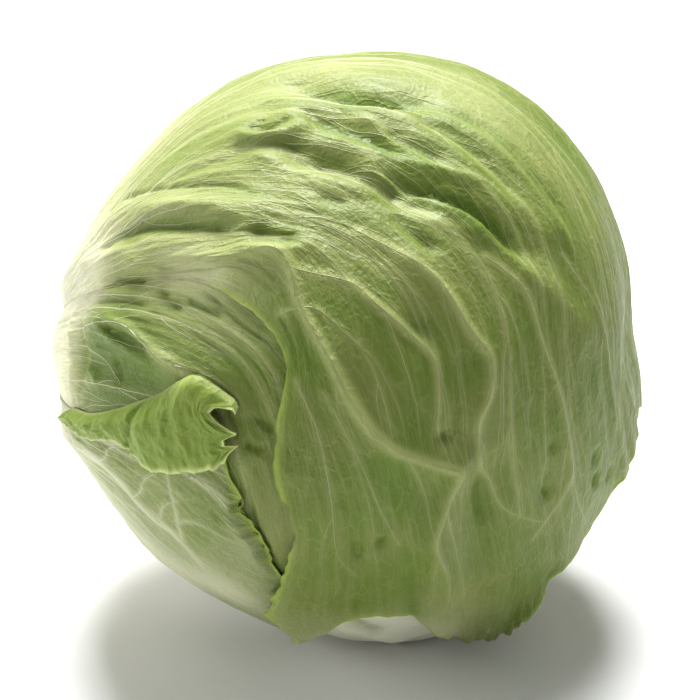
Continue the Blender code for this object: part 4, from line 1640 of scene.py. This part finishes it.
def build_curl(layer):
    """The flap that hangs from the side leaf's fold."""
    draw = np.random.default_rng(CURL_SEED)
    (fold,), (edge,), (crease,) = rows_of(CURL_LINES)
    reach, along = np.meshgrid(*(np.linspace(0, 1, count) for count in CURL_MESH), indexing="ij")
    columns = CURL_MESH[1]
    fold, edge = evened(fold, columns), evened(edge, columns)
    teeth = np.zeros(columns)
    for spacing, size in CURL_TEETH:
        knots = draw.uniform(-1, 1, int(length_of(fold) / MM / spacing))
        teeth += size * zigzag(knots, along[0])
    pulled = (reach * (1 + teeth * smooth_step((reach - 0.5) / 0.5)))[..., None]
    jag = zigzag(CURL_JAGS, reach) * smooth_step((along - CURL_JAG_START) / (1 - CURL_JAG_START))
    at = ((along + jag) * (columns - 1)).ravel()
    fold_part, edge_part = [spline(line, at).reshape(*reach.shape, 3) for line in (fold, edge)]
    directions = unit(fold_part * (1 - pulled) + edge_part * pulled)
    # Distance in mm to the side of the crease, above zero towards the right end of the fold
    crease = spaced(crease, MM)
    nearest = (directions @ crease.T).argmax(axis=-1)
    run = unit(np.gradient(crease, axis=0))
    square = np.cross(crease, run)
    beside = (square[nearest] * (directions - crease[nearest])).sum(axis=-1) * HEAD_RADIUS / MM
    beside = beside * np.sign(square[1] @ (fold[-1] - crease[1]))
    step = TONGUE_STEP * smooth_step((beside + 0.4) / 0.8) - CREASE_DEPTH * bell(beside + 1.2, 1.0)
    pleats = ripples(draw, reach, along, (3, 29))
    fine = ripples(draw, reach, along, (11, 69))
    rise = spline(CURL_RISE, reach[:, 0] * (len(CURL_RISE) - 1))[:, None]
    swell = np.sin(np.linspace(*CURL_SPAN, columns) * math.pi)
    lift = rise * np.where(reach == 0, 1, swell)
    relief = (step + PLEAT_HEIGHT * pleats + FINE_HEIGHT * fine) * smooth_step(reach / 0.1)
    outer = face_radius(directions, layer) + lift + relief
    thickness = THIN_EDGE + 0.4 * MM * smooth_step((1 - reach) / 0.2)
    rim = np.maximum(bell(1 - reach, 0.05), 0.5 * bell(reach, 0.06))
    # The edge value paints a highlight along the free edge and along the fold, and the furrow value paints
    # shade into the crease
    values = {
        "edge": np.maximum(rim, bell(1 - along, 0.012)),
        "vein": np.clip(pleats * 0.4, 0, 1) * 0.6,
        "furrow": bell(beside + 1.0, 1.4) * 0.8,
        "pale": np.clip(0.12 - 0.1 * pleats, 0, 1),
    }
    uv = (0.3 * along, 0.12 * reach)
    return add_sheet("side_leaf_curl", directions, outer, outer - thickness, BRIGHT_GREEN, values, uv)


BRIGHT_GREEN = leaf_finish(
    "curled_tip_green",
    green=(0.165, 0.232, 0.030),
    deep_green=(0.105, 0.172, 0.014),
    pale=(0.270, 0.340, 0.075),
    vein=(0.240, 0.310, 0.070),
    edge=(0.480, 0.560, 0.200),
)
curl = build_curl(SIDE_LAYER)
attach(curl, "root")

# %% [markdown]
# ## The cut stem
#
# A harvester's knife leaves a flat round butt. Its cut face browns at the rim within a day and stays
# cream in the middle, with a ring of small dots where the leaf veins run through. The stem is turned
# from a short profile, a little out of round.

# %% Cut stem
STEM_RADIUS = 13.0 * MM
STEM_REACH = (66.0 * MM, 82.5 * MM)
# Shares of the stem's radius and of its length
STEM_PROFILE = np.array([(0, 0), (0.86, 0), (0.98, 0.06), (0.99, 0.45), (0.98, 0.88), (0.90, 0.985), (0, 1)])
STEM_RINGS = 64
STEM_COLUMNS = 120
STEM_SEED = 3
SCORE_HEIGHT = 0.12 * MM
DOT_COUNT = 14
DOT_PLACE = 0.66
DOT_WIDTH = 0.06
BROWN_MIDDLE = 0.25


def cut_finish():
    """Material of the stem: cream, browned where it was cut."""
    finish = Finish("cut_stem_flesh")
    blotch = finish.noise(finish.place, 260.0, 4.0)
    flesh = finish.mix(finish.ranged(blotch, 0.35, 0.65), (0.640, 0.600, 0.400), (0.520, 0.500, 0.290))
    brown = finish.mix(finish.ranged(blotch, 0.35, 0.7), (0.330, 0.170, 0.070), (0.460, 0.270, 0.130))
    colour = finish.mix(finish.value("browned"), flesh, brown)
    return finish.done(
        finish.mix(finish.value("bundle"), colour, (0.240, 0.120, 0.050)),
        finish.ranged(blotch, 0.3, 0.7, 0.45, 0.62),
        Normal=finish.bump(blotch, 0.3 * MM, 0.7),
        Subsurface_Weight=0.15,
        Subsurface_Scale=1.5 * MM,
    )


def build_stem():
    """The butt, turned round its axis."""
    draw = np.random.default_rng(STEM_SEED)
    low, high = STEM_REACH
    walked = running(np.linalg.norm(np.diff(STEM_PROFILE, axis=0), axis=1))
    even = np.linspace(0, walked[-1], STEM_RINGS)[1:-1]
    share, height = [np.interp(even, walked, STEM_PROFILE[:, k]) for k in (0, 1)]
    spins = np.linspace(0, 2 * math.pi, STEM_COLUMNS, endpoint=False)
    side = np.outer(np.cos(spins), STEM_TOP) + np.outer(np.sin(spins), STEM_FRONT)
    uneven = 1 - 0.05 * (0.5 + 0.5 * np.sin(3 * spins + 1)) - 0.015 * draw.random(STEM_COLUMNS)
    on_face = smooth_step((height - 0.93) / 0.04)
    reach = low + (high - low) * height + SCORE_HEIGHT * np.sin(40 * share) * on_face
    rings = STEM * reach[:, None, None] + side * (np.outer(share, uneven) * STEM_RADIUS)[..., None]
    points = np.concatenate([(STEM * low)[None], rings.reshape(-1, 3), (STEM * high)[None]])
    ids = 1 + np.arange(len(even) * STEM_COLUMNS).reshape(len(even), STEM_COLUMNS)
    around = np.concatenate([ids, ids[:, :1]], axis=1)
    first = [(0, b, a) for a, b in zip(around[0], around[0][1:])]
    last = [(len(points) - 1, a, b) for a, b in zip(around[-1], around[-1][1:])]
    faces = np.concatenate([grid_faces(around), first, last])
    rim = smooth_step((share - 0.55) / 0.35) * on_face
    dots = np.clip(np.cos(DOT_COUNT * spins), 0, 1) ** 3
    bundle = np.outer(bell(share - DOT_PLACE, DOT_WIDTH) * on_face, dots)
    browned = np.repeat(BROWN_MIDDLE * on_face + (1 - BROWN_MIDDLE) * rim, STEM_COLUMNS)
    values = {
        "browned": np.concatenate([[0], browned, [BROWN_MIDDLE]]),
        "bundle": np.concatenate([[0], bundle.ravel(), [0]]),
    }
    return add_piece("cut_stem_butt", points + HEAD_MIDDLE, faces, cut_finish(), values)


stem = build_stem()
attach(stem, "root")
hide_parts("cut_stem")

# %% [markdown]
# ## The heart
#
# The heart is hidden but for the dent round the stem, so it keeps the frame's own mesh and only gets a
# finish in two pale yellows.

# %% Heart finish
heart_finish = Finish("heart_pale_yellow")
patches = heart_finish.ranged(heart_finish.noise(heart_finish.place, 60.0, 4.0), 0.35, 0.65)
colour = heart_finish.mix(patches, (0.560, 0.560, 0.300), (0.640, 0.640, 0.420))
heart = bpy.data.objects["heart"]
heart.data.materials.clear()
heart.data.materials.append(heart_finish.done(colour, 0.45))
print("heart keeps", len(heart.data.polygons), "faces")
